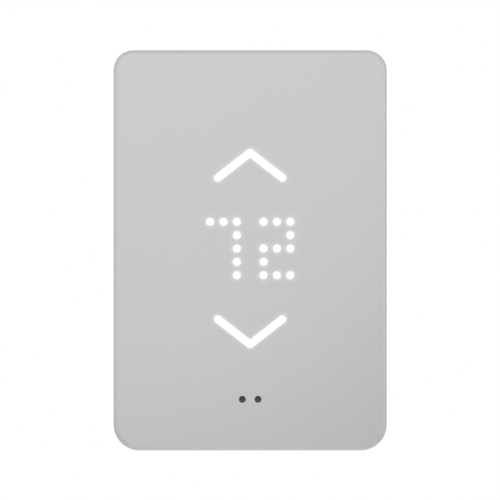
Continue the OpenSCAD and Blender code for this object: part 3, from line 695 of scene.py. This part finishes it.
# %% [markdown]
# ## The shell's own finish
# A light, neutral grey, almost matte, with the finest grain of all. The glow goes to the emission colour,
# because it is light that leaves the plastic and not a paler plastic. The lit skin is the same plastic,
# brightest in the middle of each mark and soft at its rim, where the light has spread.

# %% Cover plastic and the lit skin
for name, mask, dimmest, strength in (("cover_plastic", "Glow", 0.0, 0.095), ("lit_skin", "Core", 0.22, 0.85)):
    tree, shader = plastic(name, (0.605, 0.605, 0.605), 0.46, cloudiness=0.012, grain=4200.0, bump=0.10,
                           Emission_Strength=strength)
    glow = place_group(tree, glow_in_skin)
    put(tree, shader.inputs["Emission Color"], blend_colour(
        tree, glow.outputs[mask], (dimmest, dimmest, dimmest, 1), (1.0, 1.0, 1.0, 1)))
plastic("clear_lens", (0.86, 0.88, 0.90), 0.22, cloudiness=0.03, bump=0.03, Coat_Weight=0.5)
print("shell finishes ready")

# %% [markdown]
# ## The shell
# The front cover is one injection moulding: a shallow box, open at the back, whose four corners and front
# outline are rounded. It could be sculpted or lofted, but a cube that is bevelled twice and pressed hollow
# gives exactly the walls that a mould gives, and the same steps in the viewport take a minute.

# %% The box, its corners, its front edge and its hollow
shell = rounded_block("cover_shell", low, high, top=6.5, bottom=8.5, steps=14)
round_rim(shell, -1, 1.8, 8)
hollow(shell, 1, wall_thickness, rim_y - face_in_y)
round_rim(shell, 1, 0.25, 2)
print("shell:", len(shell.data.polygons), "faces,", [round(d / MM, 2) for d in shell.dimensions], "mm")


# %% [markdown]
# ## Shapes drawn as an outline
# An arrow is a bent stroke of even width with round ends. Its outline is drawn point by point round the
# bend, filled, and pulled out to a depth. The same outline makes the opening in the shell and, a
# hundredth of a millimetre smaller, the lit piece that fills it.

# %% A prism from an outline
def prism(name, outline, front, back):
    """outline is a list of (x, z) points in millimetres, front and back the two y levels."""
    obj = draw_line(name, [(x, front, z) for x, z in outline])
    bpy.ops.mesh.edge_face_add()
    bpy.ops.mesh.extrude_region_move(TRANSFORM_OT_translate={"value": (0, (back - front) * MM, 0)})
    close_outwards()
    return obj


def arrow_outline(side, half):
    """Goes round a bent stroke of width 2 * half, its feet towards the middle of the display."""
    slope = atan2(arrow_h, arrow_half_w)
    points = []

    def round_end(x, z, start, stop, steps=12):
        for k in range(steps + 1):
            a = start + (stop - start) * k / steps
            points.append((x + half * cos(a), z + half * sin(a)))

    round_end(-arrow_half_w, 0, slope + 3 * pi / 2, slope + pi / 2)
    round_end(0, arrow_h, slope + pi / 2, pi / 2 - slope)
    round_end(arrow_half_w, 0, pi / 2 - slope, -pi / 2 - slope)
    points.append((0, arrow_h - half / cos(slope)))
    return [(x, display_z + side * (arrow_foot + z)) for x, z in points]


print("arrow outline:", len(arrow_outline(1, stroke_half)), "points")


# %% [markdown]
# ## Openings in the shell
# Behind each dot the face is milled down to a thin skin, so that light can pass. The lit dots and arrows
# are cut right through here, because a lit skin is a piece of its own with its own finish. The vents are
# slots in the bottom and top walls, and two small round windows let the proximity sensor see. Every
# cutting tool reaches a little over what it cuts.

# %% Pockets, windows and vents
over, lit_gap, pocket_gap = 0.5, 0.01, 0.05
cutters = []
for x, z in all_dots:
    front, gap = (face_y - over, lit_gap) if (x, z) in lit_dots else (face_y + skin, pocket_gap)
    cutters.append(rod("pocket", dot_r + gap, (x, front, z), face_in_y + over - front, steps=32))
for side in (1, -1):
    outline = arrow_outline(side, stroke_half + lit_gap)
    cutters.append(prism("arrow_cut", outline, face_y - over, face_in_y + over))
for x in (-eye_x, eye_x):
    cutters.append(lathe("eye_cut", [(0, 0), (eye_r + 0.42, 0), (eye_r, 0.72), (eye_r, 4), (0, 4)],
                         (x, face_y - 0.6, eye_z), steps=32))
combine(shell, cutters, "DIFFERENCE")

vent_half, vent_front, vent_back, vent_step, vent_corner, vent_over = 0.8, -17.5, -11, 3.84, 0.5, 2.5
bottom_vents = [side * (11 + i * vent_step) for i in range(6) for side in (-1, 1)]
top_vents = [side * (i + 0.5) * vent_step for i in range(5) for side in (-1, 1)]
first_vent = block("vent", (-vent_half, vent_front, low.z - vent_over), (vent_half, vent_back, low.z + vent_over))
bevel(first_vent, vent_corner, 3, lambda e: runs_along(e, 2))
vents = [copy_to(first_vent, "vent_copy", (x, 0, 0)) for x in bottom_vents]
vents += [copy_to(first_vent, "vent_copy", (x, 0, 2 * half_h)) for x in top_vents]
bpy.data.objects.remove(first_vent)
combine(shell, vents, "DIFFERENCE")
print("openings cut:", len(cutters) + len(vents), "->", len(shell.data.polygons), "faces")

# %% [markdown]
# ## What stands inside the shell
# Two hooks at the top hang over the wall plate's hinge bars, four bosses carry the display board, six
# short ribs close on the wall plate's edge, and a block at the bottom takes the pull of the clamp screw.
# Each is a block or a rod with softened edges that runs a little into its wall and is welded to it.

# %% Hooks, bosses, ribs and the clamp block
bar_z, bar_y, slot_r = 59.2, -8.0, 1.58
root_y = face_in_y - 0.4
hook_x, hook_half, cut_half, cut_low = 24.0, 2, 4, bar_z - 5
inside = []
for x in (-hook_x, hook_x):
    hook = block("hook", (x - hook_half, root_y, bar_z - 3.4), (x + hook_half, -4.62, half_h - 1.6), edge=0.3)
    slot_round = rod("hook_round", slot_r, (x - cut_half, bar_y, bar_z), 2 * cut_half, axis="x", steps=32)
    slot_open = block("hook_open", (x - cut_half, bar_y - slot_r, cut_low), (x + cut_half, bar_y + slot_r, bar_z))
    hook_waist = block("hook_waist", (x - cut_half, face_in_y + 1.2, cut_low),
                       (x + cut_half, bar_y - 3.98, bar_z + 1), edge=0.4)
    inside.append(combine(hook, [slot_round, slot_open, hook_waist], "DIFFERENCE", apart=False))

boss_spots = [(x, z) for x in (-33.5, 33.5) for z in (47.4, -48.8)]
board_front_y, boss_r, rib_back_y, rib_half = -16.0, 2.8, -7.3, 0.7
web_bottom, web_top, screw_y = -62.4, -59.7, -6.0
for x, z in boss_spots:
    inside.append(rod("boss", boss_r, (x, root_y, z), board_front_y - root_y, edge=0.15))
for near, far in ((-43.0, -40.3), (40.3, 43.0)):
    for z in (45.4, 0, -46.7):
        inside.append(block("stop_rib", (near, root_y, z - rib_half), (far, rib_back_y, z + rib_half), edge=0.2))
inside.append(block("clamp_block", (-7, -12, web_bottom - 1.3), (7, rim_y, web_top), edge=0.3))
combine(shell, inside, "UNION")
print("welded:", len(inside), "pieces ->", len(shell.data.polygons), "faces")

# %% [markdown]
# ## Screw holes and the ways to move
# The bosses get pilot holes and the clamp block its keyhole seat, which is open at the rear so that the
# cover can swing off the screw. At the top the rear rim is cut back on a slant, which gives the cover room
# to tilt without its rim meeting the wall.

# %% Pilot holes, keyhole and the slanted rim
pilot_r, head_room, shank_room = 0.95, 3.15, 1.8
holes = [rod("pilot", pilot_r, (x, face_in_y + 0.2, z), 4.5, steps=24) for x, z in boss_spots]
holes += [
    rod("head_seat", head_room, (0, screw_y, low.z - 0.5), web_bottom - low.z + 0.5, axis="z"),
    block("head_way", (-head_room, screw_y, low.z - 0.5), (head_room, 0.5, web_bottom)),
    block("swing_way", (-head_room, screw_y + 1.5, low.z - 0.4), (head_room, 0.6, web_bottom + 0.25)),
    rod("shank_seat", shank_room, (0, screw_y, web_bottom - 0.5), web_top - web_bottom + 1, axis="z"),
    block("shank_way", (-shank_room, screw_y, web_bottom - 0.4), (shank_room, 0.7, web_top + 0.6)),
]
combine(shell, holes, "DIFFERENCE", apart=False)

relief_low, relief_front, relief_slant = 47.2, -2.4, 1.2
slant = block("rim_relief", (-50, relief_front, relief_low), (50, 0.8, 70))
choose(slant, "FACE", lambda f: True)
bpy.ops.mesh.bisect(plane_co=(0, 0, bar_z * MM), plane_no=(0, 0, 1))
close_edit()
choose(slant, "VERT", lambda v: v.co.z < (relief_low + 0.1) * MM and v.co.y < (relief_front + 0.1) * MM)
bpy.ops.transform.translate(value=(0, relief_slant * MM, 0))
close_edit()
combine(shell, [slant], "DIFFERENCE")
seat(shell, "front_module", "cover_plastic", "front_cover", soft=32)

# %% [markdown]
# ## The lit marks
# Each lit dot is a small disc of skin that fills its opening flush with the face, with the glow as its
# emission. Discs of one digit are one piece, as they light up together, and so is each arrow.

# %% Lit digits and arrows
lit_front, lit_back = face_y + 0.005, face_y + skin
first_dot = rod("lit_dot", dot_r, (0, lit_front, 0), lit_back - lit_front, steps=32)
dots = [copy_to(first_dot, "lit_dot_copy", (x, 0, z)) for x, z in lit_dots]
bpy.data.objects.remove(first_dot)
for name, side in (("lit_digit_left", -1), ("lit_digit_right", 1)):
    digit = joined(name, [d for d, place in zip(dots, lit_dots) if place[0] * side > 0])
    seat(digit, "front_module", "clear_lens", finish="lit_skin")
for name, side in (("lit_arrow_up", 1), ("lit_arrow_down", -1)):
    arrow = prism(name, arrow_outline(side, stroke_half), lit_front, lit_back)
    seat(arrow, "front_module", "clear_lens", finish="lit_skin")

# %% [markdown]
# ## The sensor's windows
# Two dark plugs pressed in from behind. Their fronts are slightly dished and sit a quarter of a
# millimetre below the face, so that they show as two small round eyes with a soft glint. A dished round
# piece with a flange is a lathe's work, so its profile is spun.

# %% Two window plugs
plug_profile = [(0, -21.56), (0.5, -21.6), (0.95, -21.75), (1.06, -21.62), (1.06, face_in_y),
                (1.25, face_in_y), (1.25, -19.2), (0, -19.2)]
plugs = [lathe("window_plug", plug_profile, (x, 0, eye_z), steps=40) for x in (-eye_x, eye_x)]
windows = joined("eye_windows", plugs)
seat(windows, "front_module", "smoked_lens", "sensor_windows", soft=40)

# %% [markdown]
# ## Pieces that keep the CAD's shape
# Most of the pieces behind the cover already have their right shape. Those that can be seen get a finished
# copy: the loose triangles are merged and dissolved to whole faces, every real edge gets a small
# bevel, as any moulding or stamping has, and the shading is smoothed between them.

# %% A finished copy of a CAD node
slot_of = {part["node"]: part["material_slot"] for part in frame["record"]["subparts"]}


def finished_copy(node, edge):
    pick(frame["nodes"][node])
    bpy.ops.object.duplicate()
    obj = take_name(node + "_piece")
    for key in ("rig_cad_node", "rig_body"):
        del obj[key]
    obj.parent = None
    choose(obj, "VERT", lambda v: True)
    bpy.ops.mesh.remove_doubles(threshold=2e-6)
    bpy.ops.mesh.select_mode(type="FACE")
    bpy.ops.mesh.select_all(action="SELECT")
    bpy.ops.mesh.dissolve_limited(angle_limit=radians(1))
    close_edit()
    return apply_modifier(obj, "BEVEL", width=edge * MM, segments=2, limit_method="ANGLE",
                          angle_limit=radians(40), use_clamp_overlap=True)


def body_of(node):
    return next(body for body, nodes in frame["record"]["behaviour"]["bodies"].items() if node in nodes)


def finish_node(node, edge, cuts=()):
    """Seats a finished copy in place of its node. `cuts` are tools that take a little off it first."""
    obj = finished_copy(node, edge)
    if cuts:
        combine(obj, cuts, "DIFFERENCE")
    return seat(obj, body_of(node), slot_of[node], node, soft=32)


for node, edge in (("relay_case", 0.4), ("socket", 0.15), ("pin_header_base", 0.15), ("radio_shield", 0.2),
                   ("light_mask", 0.12), ("terminal_blocks", 0.15)):
    finish_node(node, edge)

# %% [markdown]
# ## Marks of the mould
# A moulded part shows how it left its tool: round ejector-pin marks a quarter of a millimetre deep, a
# shallow seat for a label (left bare here), and on the wall plate an arrow that says which way is up. They
# are cut into the finished copies of the wall plate, the lid and the housing with thin tools.

# %% Wall plate, lid and housing
def pin_marks(spots, front, back, radius=2.0):
    return [rod("pin_mark", radius, (x, front, z), back - front, steps=40) for x, z in spots]


def up_arrow(x, z, front, back, size=4.0):
    """A solid triangle on a short stem, its point upwards."""
    outline = [(0, size), (-size * 0.8, 0), (-size * 0.3, 0), (-size * 0.3, -size), (size * 0.3, -size),
               (size * 0.3, 0), (size * 0.8, 0)]
    return prism("up_arrow", [(x + px, z + pz) for px, pz in outline], front, back)


wall_y, lid_front_y, housing_rear_y = 0, -8.1, 20.0
mark_depth = 0.25
plate_spots = [(x, z) for x in (-36.5, 36.5) for z in (-50, -17, 17, 50)]
plate_spots += [(x, z) for x in (-16, 16) for z in (-52, 52)]
finish_node("wall_plate", 0.25, cuts=pin_marks(plate_spots, wall_y - mark_depth, wall_y + over)
            + [up_arrow(9, 51, wall_y - 0.4, wall_y + over, 3.0)])
lid_marks = [(x, z) for x in (-24, 24) for z in (-14, 14)]
finish_node("inner_cover", 0.25, cuts=pin_marks(lid_marks, lid_front_y - over, lid_front_y + mark_depth))
housing_cuts = pin_marks([(x, z) for x in (-17, 17) for z in (-27, 12)],
                         housing_rear_y - mark_depth, housing_rear_y + over)
housing_cuts.append(rounded_block("label_seat", (-13, housing_rear_y - 0.35, -23), (13, housing_rear_y + over, 8),
                                  top=1.5, steps=5))
finish_node("rear_housing", 0.3, cuts=housing_cuts)

# %% [markdown]
# ## Screws
# All the screws are pan heads with a cross recess. One is turned on the lathe with its domed head and
# thread grooves, two crossed bars cut the recess, and copies go to each place.

# %% A pan-head screw
def pan_screw(name, shank_r, head_r, head_h, length, under, axis, pitch=0.7, point=0.6):
    """under is the centre of the head's underside. The head stands along axis ('+y', '-z' and so on)."""
    sign, line = (1 if axis[0] == "+" else -1), axis[1]
    profile = [(0, head_h), (head_r * 0.5, head_h * 0.97), (head_r * 0.82, head_h * 0.82),
               (head_r, head_h * 0.4), (head_r, 0.06), (head_r - 0.1, 0), (shank_r, 0)]
    depth, root_r = 0.25, shank_r * 0.82
    while depth + pitch < length - point:
        profile += [(shank_r, -depth), (root_r, -depth - pitch * 0.3), (root_r, -depth - pitch * 0.5),
                    (shank_r, -depth - pitch * 0.8)]
        depth += pitch
    profile += [(shank_r, -(length - point)), (shank_r * 0.45, -length), (0, -length)]
    screw = lathe(name, [(r, d * sign) for r, d in profile], under, axis=line, steps=36)
    centre = Vector(under) + unit_vector(line) * sign * head_h
    bars = []
    for across in "xyz".replace(line, ""):
        half = Vector([head_r * 0.62 if a == across else head_r * 0.13 if a != line else head_h * 0.55
                       for a in "xyz"])
        bars.append(block("recess", centre - half, centre + half))
    return combine(screw, bars, "DIFFERENCE", apart=False)


def screw_set(name, node, places, first):
    """Copies a screw that stands at the first place to the others, as one piece that replaces a node."""
    copies = [copy_to(first, "screw_copy", Vector(p) - Vector(places[0])) for p in places[1:]]
    return seat(joined(name, [first] + copies), body_of(node), slot_of[node], node, soft=35)


# %% Lid, board and terminal screws
lid_spots = [(x, -8.1, z) for x in (-26, 26) for z in (-26, 26)]
screw_set("lid_screws", "inner_cover_screws", lid_spots,
          pan_screw("lid_screw", 1.05, 2.3, 1.4, 6.1, lid_spots[0], "-y"))

board_back_y = -14.4
board_spots = [(x, board_back_y, z) for x, z in boss_spots]
screw_set("display_board_screws", "board_screws", board_spots,
          pan_screw("board_screw", 0.9, 2.0, 1.3, 4.8, board_spots[0], "+y", pitch=0.6))

terminal_spots = [(x, 11.2, 27.3) for x in (-14.25, -4.75, 4.75, 14.25)]
screw_set("wire_screws", "terminal_screws", terminal_spots,
          pan_screw("wire_screw", 1.75, 2.6, 1.9, 1.4, terminal_spots[0], "+z", pitch=0.35, point=0.3))

# %% [markdown]
# ## The clamp screw and its bush
# One screw at the bottom pulls the cover against the wall plate. Its head faces down so that a
# screwdriver reaches it from below, a clip in its groove keeps it from falling out, and its thread runs in
# a brass bush with knurled bands that is pressed into the plate's lug.

# %% Clamp screw, bush and clip
head_low, head_high, thread_end, thread_pitch = -64.7, -62.7, -54.4, 0.5
clamp_r, thread_root_r, groove_r = 1.5, 1.29, 1.2
profile = [(0, head_low), (2.3, head_low), (2.66, head_low + 0.18), (2.75, head_low + 0.5),
           (2.75, head_high - 0.12), (2.63, head_high), (clamp_r, head_high)]
z = head_high + 0.9
while z < thread_end:
    profile += [(clamp_r, z), (thread_root_r, z + 0.16), (thread_root_r, z + 0.26), (clamp_r, z + 0.42)]
    z += thread_pitch
profile += [(clamp_r, -53.65), (groove_r, -53.62), (groove_r, -52.88), (clamp_r, -52.85), (clamp_r, -52.4),
            (1.25, -52.15), (0, -52.15)]
clamp = lathe("clamp_screw_piece", profile, (0, screw_y, 0), axis="z", steps=40)
cross = [block("recess", (-1.6, screw_y - 0.4, head_low - 0.4), (1.6, screw_y + 0.4, head_low + 1.2)),
         block("recess", (-0.4, screw_y - 1.6, head_low - 0.4), (0.4, screw_y + 1.6, head_low + 1.2))]
combine(clamp, cross, "DIFFERENCE", apart=False)
seat(clamp, "screw", "screw_steel", "clamp_screw", soft=35)

bush_low, bush_high, bore_r, bush_r, band_r = -59.35, -55.35, 1.58, 2.05, 2.18
profile = [(bore_r, bush_low), (1.95, bush_low), (bush_r, bush_low + 0.15)]
for k in range(3):
    z = bush_low + 0.35 + 1.2 * k
    profile += [(bush_r, z), (band_r, z + 0.08), (band_r, z + 0.78), (bush_r, z + 0.86)]
profile += [(bush_r, bush_high - 0.15), (1.95, bush_high), (bore_r, bush_high), (bore_r, bush_low)]
bush = lathe("thread_bush", profile, (0, screw_y, 0), axis="z", steps=48)
seat(bush, "wall_unit", "insert_brass", "clamp_insert", soft=30)
finish_node("screw_clip", 0.08)

# %% [markdown]
# ## Chips on the boards
# A chip is a black epoxy body with bent legs, and the smallest parts are bars with tinned ends. A
# body is a block with its upper edges bevelled. A leg starts as its foot on the board, and its inner face is
# extruded twice, up and then into the body, just as a real leg is bent.

# %% One leg, one chip and one small part
def chip_leg(x, z, board, out, inward, width=0.28):
    """A bent leg whose foot ends at (x, z). inward is the (x, z) direction to the body."""
    foot, thickness, lean, rise, into_body = 0.3, 0.14, 0.16, 0.4, 0.45
    inwards = Vector((inward[0], 0, inward[1]))
    sideways = Vector((abs(inward[1]), 0, abs(inward[0]))) * width / 2
    toe, heel = Vector((x, board, z)), Vector((x, board + out * thickness, z)) + inwards * foot
    lows, highs = ([extreme(pair) for pair in zip(toe, heel)] for extreme in (min, max))
    leg = block("leg", Vector(lows) - sideways, Vector(highs) + sideways)
    choose(leg, "FACE", lambda f: f.normal.dot(inwards) > 0.9)
    for bend in (inwards * lean + Vector((0, out * rise, 0)), inwards * into_body):
        bpy.ops.mesh.extrude_region_move(TRANSFORM_OT_translate={"value": bend * MM})
    close_edit()
    return leg


def chip(x, z, w, h, t, board, out, legs_x, legs_z):
    """Body and legs inside w by h: legs_x legs on the left and right sides, legs_z on the top and bottom."""
    leg_room, dot_inset = 0.75, 0.9
    inset_x, inset_z = (leg_room if legs_x else 0), (leg_room if legs_z else 0)
    near, far = sorted((board + out * 0.08, board + out * t))
    left, right = x - w / 2 + inset_x, x + w / 2 - inset_x
    bottom, top = z - h / 2 + inset_z, z + h / 2 - inset_z
    body = block("chip_body", (left, near, bottom), (right, far, top), edge=0.12)
    dot_start = min(board + out * (t - 0.1), board + out * (t + 0.4))
    dot = rod("chip_dot", 0.35, (left + dot_inset, dot_start, top - dot_inset), 0.5, steps=16)
    combine(body, [dot], "DIFFERENCE")
    legs = []
    for count, along, span, reach in ((legs_x, "z", h, w), (legs_z, "x", w, h)):
        room = span - 2 * (leg_room if legs_x and legs_z else 0) - 1.0
        for k in range(count):
            step = (k / (count - 1) - 0.5) * room if count > 1 else 0
            for side in (-1, 1):
                spot = (x + side * reach / 2, z + step) if along == "z" else (x + step, z + side * reach / 2)
                inward = (-side, 0) if along == "z" else (0, -side)
                legs.append(chip_leg(*spot, board, out, inward))
    return body, legs


def small_part(x, z, w, h, t, board, out):
    """A chip resistor or capacitor: a bar and its two tinned ends, along its longer side."""
    near, far = sorted((board + out * 0.02, board + out * t))
    tin = 0.45
    half = Vector((w / 2, 0, h / 2))
    lengthwise = unit_vector("x" if w >= h else "z")
    low, high = Vector((x, near, z)) - half, Vector((x, far, z)) + half
    hidden = lengthwise * (tin - 0.1)
    bar = block("part_bar", low + hidden + Vector((0, 0.05, 0)), high - hidden - Vector((0, 0.04, 0)),
                edge=0.05)
    rest = lengthwise * (max(w, h) - tin)
    return bar, [block("part_end", low, high - rest, edge=0.08), block("part_end", low + rest, high, edge=0.08)]


print("chip tools ready")


# %% Fill both boards
def fill_board(name, node, parts, extra, board, out):
    """parts are (x, z, width, height, thickness, legs per side, legs per end), extra (x, z, upright)."""
    bodies, tinned = [], []
    for x, z, w, h, t, legs_x, legs_z in parts:
        if legs_x or legs_z:
            body, legs = chip(x, z, w, h, t, board, out, legs_x, legs_z)
        else:
            body, legs = small_part(x, z, w, h, t, board, out)
        bodies.append(body)
        tinned += legs
    for x, z, upright in extra:
        w, h = (0.8, 1.6) if upright else (1.6, 0.8)
        body, legs = small_part(x, z, w, h, 0.55, board, out)
        bodies.append(body)
        tinned += legs
    seat(joined(name + "_bodies", bodies), body_of(node), "chip_epoxy", node, soft=32)
    seat(joined(name + "_legs", tinned), body_of(node), "tinned_steel", soft=32)


display_parts = [(19, 32.4, 10, 10, 1.4, 11, 11), (20, 18.4, 5, 6, 1.2, 4, 0), (11, 18.4, 5, 6, 1.2, 4, 0),
                 (-20, -9.2, 6, 5, 1.2, 4, 0), (24, -15.2, 3.2, 2.5, 1.4, 0, 0),
                 (24, -21.2, 3.2, 1.6, 0.9, 0, 0), (18, -21.2, 3.2, 1.6, 0.9, 0, 0),
                 (-23, -19.2, 3.2, 1.6, 0.9, 0, 0)]
display_small = [(10 + 2.4 * k, 41.5, True) for k in range(8)] + [(28.5, 24 + 2.2 * k, False) for k in range(7)]
display_small += [(-4 + 2.4 * k, 8, True) for k in range(6)] + [(-32 + 2.4 * k, 8, True) for k in range(5)]
display_small += [(-30, -30 - 2.2 * k, False) for k in range(4)] + [(14 + 2.4 * k, -34, True) for k in range(6)]
fill_board("display_chip", "display_chips", display_parts, display_small, board_back_y, 1)

power_parts = [(-11, -8, 5, 4, 1.6, 3, 0), (-11, -16, 4.6, 4.2, 1.8, 2, 0), (12, -10, 5, 6, 1.6, 4, 0),
               (12, -19, 3.2, 1.6, 0.8, 0, 0), (12, -22.5, 3.2, 1.6, 0.8, 0, 0), (-11, 4, 6, 4, 1.6, 3, 0),
               (2, 6, 3.2, 1.6, 0.8, 0, 0), (10, 6, 4.6, 3.6, 1.4, 2, 0)]
power_small = [(-5 + 2.2 * k, 12, True) for k in range(6)] + [(-16.5, -14 + 2.4 * k, False) for k in range(6)]
power_small += [(3 + 2.2 * k, -3, True) for k in range(3)]
fill_board("power_chip", "power_chips", power_parts, power_small, 0, -1)

# %% [markdown]
# ## Boards and their solder
# Both boards keep their CAD shape with a hair of bevel. Where the header, the relay and the terminals go
# through the power board, their pins end in shiny domes of solder on its front, so small domes
# are set there: half a ball each, squashed along the board's normal.

# %% Boards, solder domes
def solder_dome(radius=0.75, height=0.5):
    """A flat-bottomed dome on the plane y = 0 at the origin, that stands towards -y."""
    bpy.ops.object.select_all(action="DESELECT")
    bpy.ops.mesh.primitive_uv_sphere_add(segments=16, ring_count=10, radius=radius * MM,
                                         rotation=(pi / 2, 0, 0))
    dome = settle("dome")
    choose(dome, "VERT", lambda v: v.co.y > 0.01 * MM)
    bpy.ops.mesh.delete(type="VERT")
    bpy.ops.mesh.select_all(action="SELECT")
    bpy.ops.transform.resize(value=(1, height / radius, 1), center_override=(0, 0, 0))
    bpy.ops.mesh.select_all(action="SELECT")
    bpy.ops.mesh.region_to_loop()
    bpy.ops.mesh.edge_face_add()
    close_outwards()
    return dome


finish_node("display_board", 0.1)
finish_node("power_board", 0.1)
first_dome = solder_dome()
dome_spots = [(x, 23.8) for x in (-14.25, -4.75, 4.75, 14.25)]
dome_spots += [(x, z) for x in (-12.7, 10.6) for z in (3.2, 12.1)] + [(0.8, -24.9), (6.4, -24.9)]
dome_spots += [(8.8, -26.7), (17.4, -24.1), (-17.2, -22.5), (-7.2, -26.4)]
domes = [copy_to(first_dome, "dome_copy", (x, 0, z)) for x, z in dome_spots]
bpy.data.objects.remove(first_dome)
seat(joined("power_board_solder", domes), "wall_unit", "tinned_steel", soft=60)

# %% [markdown]
# ## The mains parts and the relay
# These sit inside the closed housing. Their CAD shapes are right, so they get finished copies
# with the bevel that suits each: sharp for stamped iron, generous for cast or dipped plastic.

# %% Finished copies inside the housing and the front module
for node, edge in (("relay_base", 0.15), ("relay_bobbin", 0.15), ("relay_coil", 0.2), ("relay_yoke", 0.1),
                   ("relay_fixed_contact", 0.05), ("relay_armature", 0.1), ("relay_blade", 0.05),
                   ("transformer_core", 0.2), ("transformer_winding", 0.3), ("storage_capacitors", 0.12),
                   ("film_capacitor", 0.5), ("varistor", 0.35), ("thermal_fuse", 0.1), ("terminal_bars", 0.1),
                   ("pin_header_pins", 0.1), ("sensor_boot", 0.15), ("proximity_sensors", 0.12),
                   ("radio_board", 0.05), ("climate_board", 0.1), ("climate_sensor", 0.2), ("digit_leds", 0.12),
                   ("arrow_leds", 0.1), ("dot_lenses", 0.1), ("arrow_lens_up", 0.1), ("arrow_lens_down", 0.1)):
    finish_node(node, edge)

# %% [markdown]
# ## What stays as it came
# The thin films and the spring contacts are bent or cut sheet, with nothing to round. They stay as the
# CAD's own nodes, with their finishes put into the node's material slot.

# %% Finishes for the CAD nodes that stay
for node, obj in frame["nodes"].items():
    if not obj.hide_render:
        obj.data.materials.clear()
        obj.data.materials.append(finishes[slot_of[node]])
        print(f"{node} stays, in {slot_of[node]}")

# %% [markdown]
# ## Floor and background
# The thermostat hangs in the air, as if held up for a look, above a pale floor that catches its
# shadow. To the camera, and in reflections, the world is plain white; to the plastic it is a softer grey, so
# that pale surfaces keep their tone. Seen from below, the floor lets the camera through.

# %% Floor and world
bpy.ops.object.select_all(action="DESELECT")
bpy.ops.mesh.primitive_circle_add(vertices=96, radius=1.6, fill_type="NGON", location=(0, 0, -0.2))
floor = take_name("floor")
floor_paint = bpy.data.materials.new("floor paint")
floor_paint.use_nodes = True
tree = floor_paint.node_tree
paint, out = tree.nodes["Principled BSDF"], tree.nodes["Material Output"]
paint.inputs["Roughness"].default_value = 0.9
dust = noise(tree, 6.0, 2.0)
put(tree, paint.inputs["Base Color"], blend_colour(tree, dust, (0.80, 0.80, 0.80, 1), (0.83, 0.83, 0.83, 1)))
path = tree.nodes.new("ShaderNodeLightPath")
put(tree, paint.inputs["Emission Color"], blend_colour(
    tree, path.outputs["Is Camera Ray"], (0, 0, 0, 1), (1, 1, 1, 1)))
paint.inputs["Emission Strength"].default_value = 0.55
clear = tree.nodes.new("ShaderNodeBsdfTransparent")
choice = tree.nodes.new("ShaderNodeMixShader")
behind = tree.nodes.new("ShaderNodeNewGeometry").outputs["Backfacing"]
put(tree, choice.inputs[0], calc(tree, "MULTIPLY", behind, path.outputs["Is Camera Ray"]))
tree.links.new(paint.outputs[0], choice.inputs[1])
tree.links.new(clear.outputs[0], choice.inputs[2])
tree.links.new(choice.outputs[0], out.inputs["Surface"])
floor.data.materials.append(floor_paint)
floor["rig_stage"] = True

scene = bpy.context.scene
scene.view_settings.view_transform = "Standard"
world = bpy.data.worlds.new("studio")
scene.world = world
world.use_nodes = True
tree = world.node_tree
path = tree.nodes.new("ShaderNodeLightPath")
seen = calc(tree, "MAXIMUM", path.outputs["Is Camera Ray"], path.outputs["Is Glossy Ray"])
seen = calc(tree, "MAXIMUM", seen, path.outputs["Is Transmission Ray"])
AMBIENT = 0.345
put(tree, tree.nodes["Background"].inputs["Color"],
    blend_colour(tree, seen, (AMBIENT, AMBIENT, AMBIENT, 1), (1, 1, 1, 1)))
print("floor at", round(floor.data.vertices[0].co.z / MM), "mm")


# %% [markdown]
# ## Lamps
# A flat face looks alive when its light isn't quite even. A narrow lamp in front makes a soft pool over
# the upper left of the face, which fades towards the bottom right. Weak panels from both sides and from
# below keep the rounded edges readable, and one at the rear shows the housing.

# %% Soft panels and the pool of light
def aim(obj, place, target):
    obj.location = place
    obj.rotation_euler = (Vector(target) - Vector(place)).to_track_quat("-Z", "Y").to_euler()
    bpy.context.scene.collection.objects.link(obj)


def panel(name, place, target, size, power):
    light = bpy.data.lights.new(name, "AREA")
    light.shape, light.size, light.energy = "SQUARE", size, power
    aim(bpy.data.objects.new(name, light), place, target)


panel("low_panel", (0.02, -0.11, -0.185), (0.01, -0.02, -0.065), 0.12, 0.014)
panel("under_panel", (0, 0.0, -0.185), (0, -0.02, -0.065), 0.16, 0.075)
panel("left_panel", (-0.7, -0.4, 0.05), (0, 0, 0), 0.3, 1.08)
panel("right_panel", (0.7, -0.4, 0.05), (0, 0, 0), 0.3, 1.55)
panel("rear_panel", (0.3, 0.8, 0.5), (0, 0, 0), 0.4, 1.5)

pool = bpy.data.lights.new("pool_lamp", "SPOT")
pool.spot_size, pool.spot_blend, pool.shadow_soft_size, pool.energy = radians(24), 0.5, 0.05, 9.3
aim(bpy.data.objects.new("pool_lamp", pool), (-0.12, -0.8, 0.3), (-0.05, -0.022, 0.075))

# %% [markdown]
# ## Camera
# The view is straight on, from far enough away that the sides can't be seen, with a long lens.

# %% Camera
distance, seen_width, film_width = 1.2, 0.16272, 36
camera = bpy.data.objects.new("camera", bpy.data.cameras.new("camera"))
scene.collection.objects.link(camera)
camera.location = (-0.05 * MM, face_y * MM - distance, 0.11 * MM)
camera.rotation_euler = (pi / 2, 0, 0)
camera.data.sensor_width = film_width
camera.data.lens = film_width * distance / seen_width
camera.data.clip_end = 20
scene.camera = camera
print("lens:", round(camera.data.lens), "mm")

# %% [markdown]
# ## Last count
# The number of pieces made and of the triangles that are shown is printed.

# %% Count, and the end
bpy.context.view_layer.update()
triangles = sum(len(p.vertices) - 2 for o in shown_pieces() for p in o.data.polygons)
print("pieces:", len(pieces_made), "triangles:", triangles)
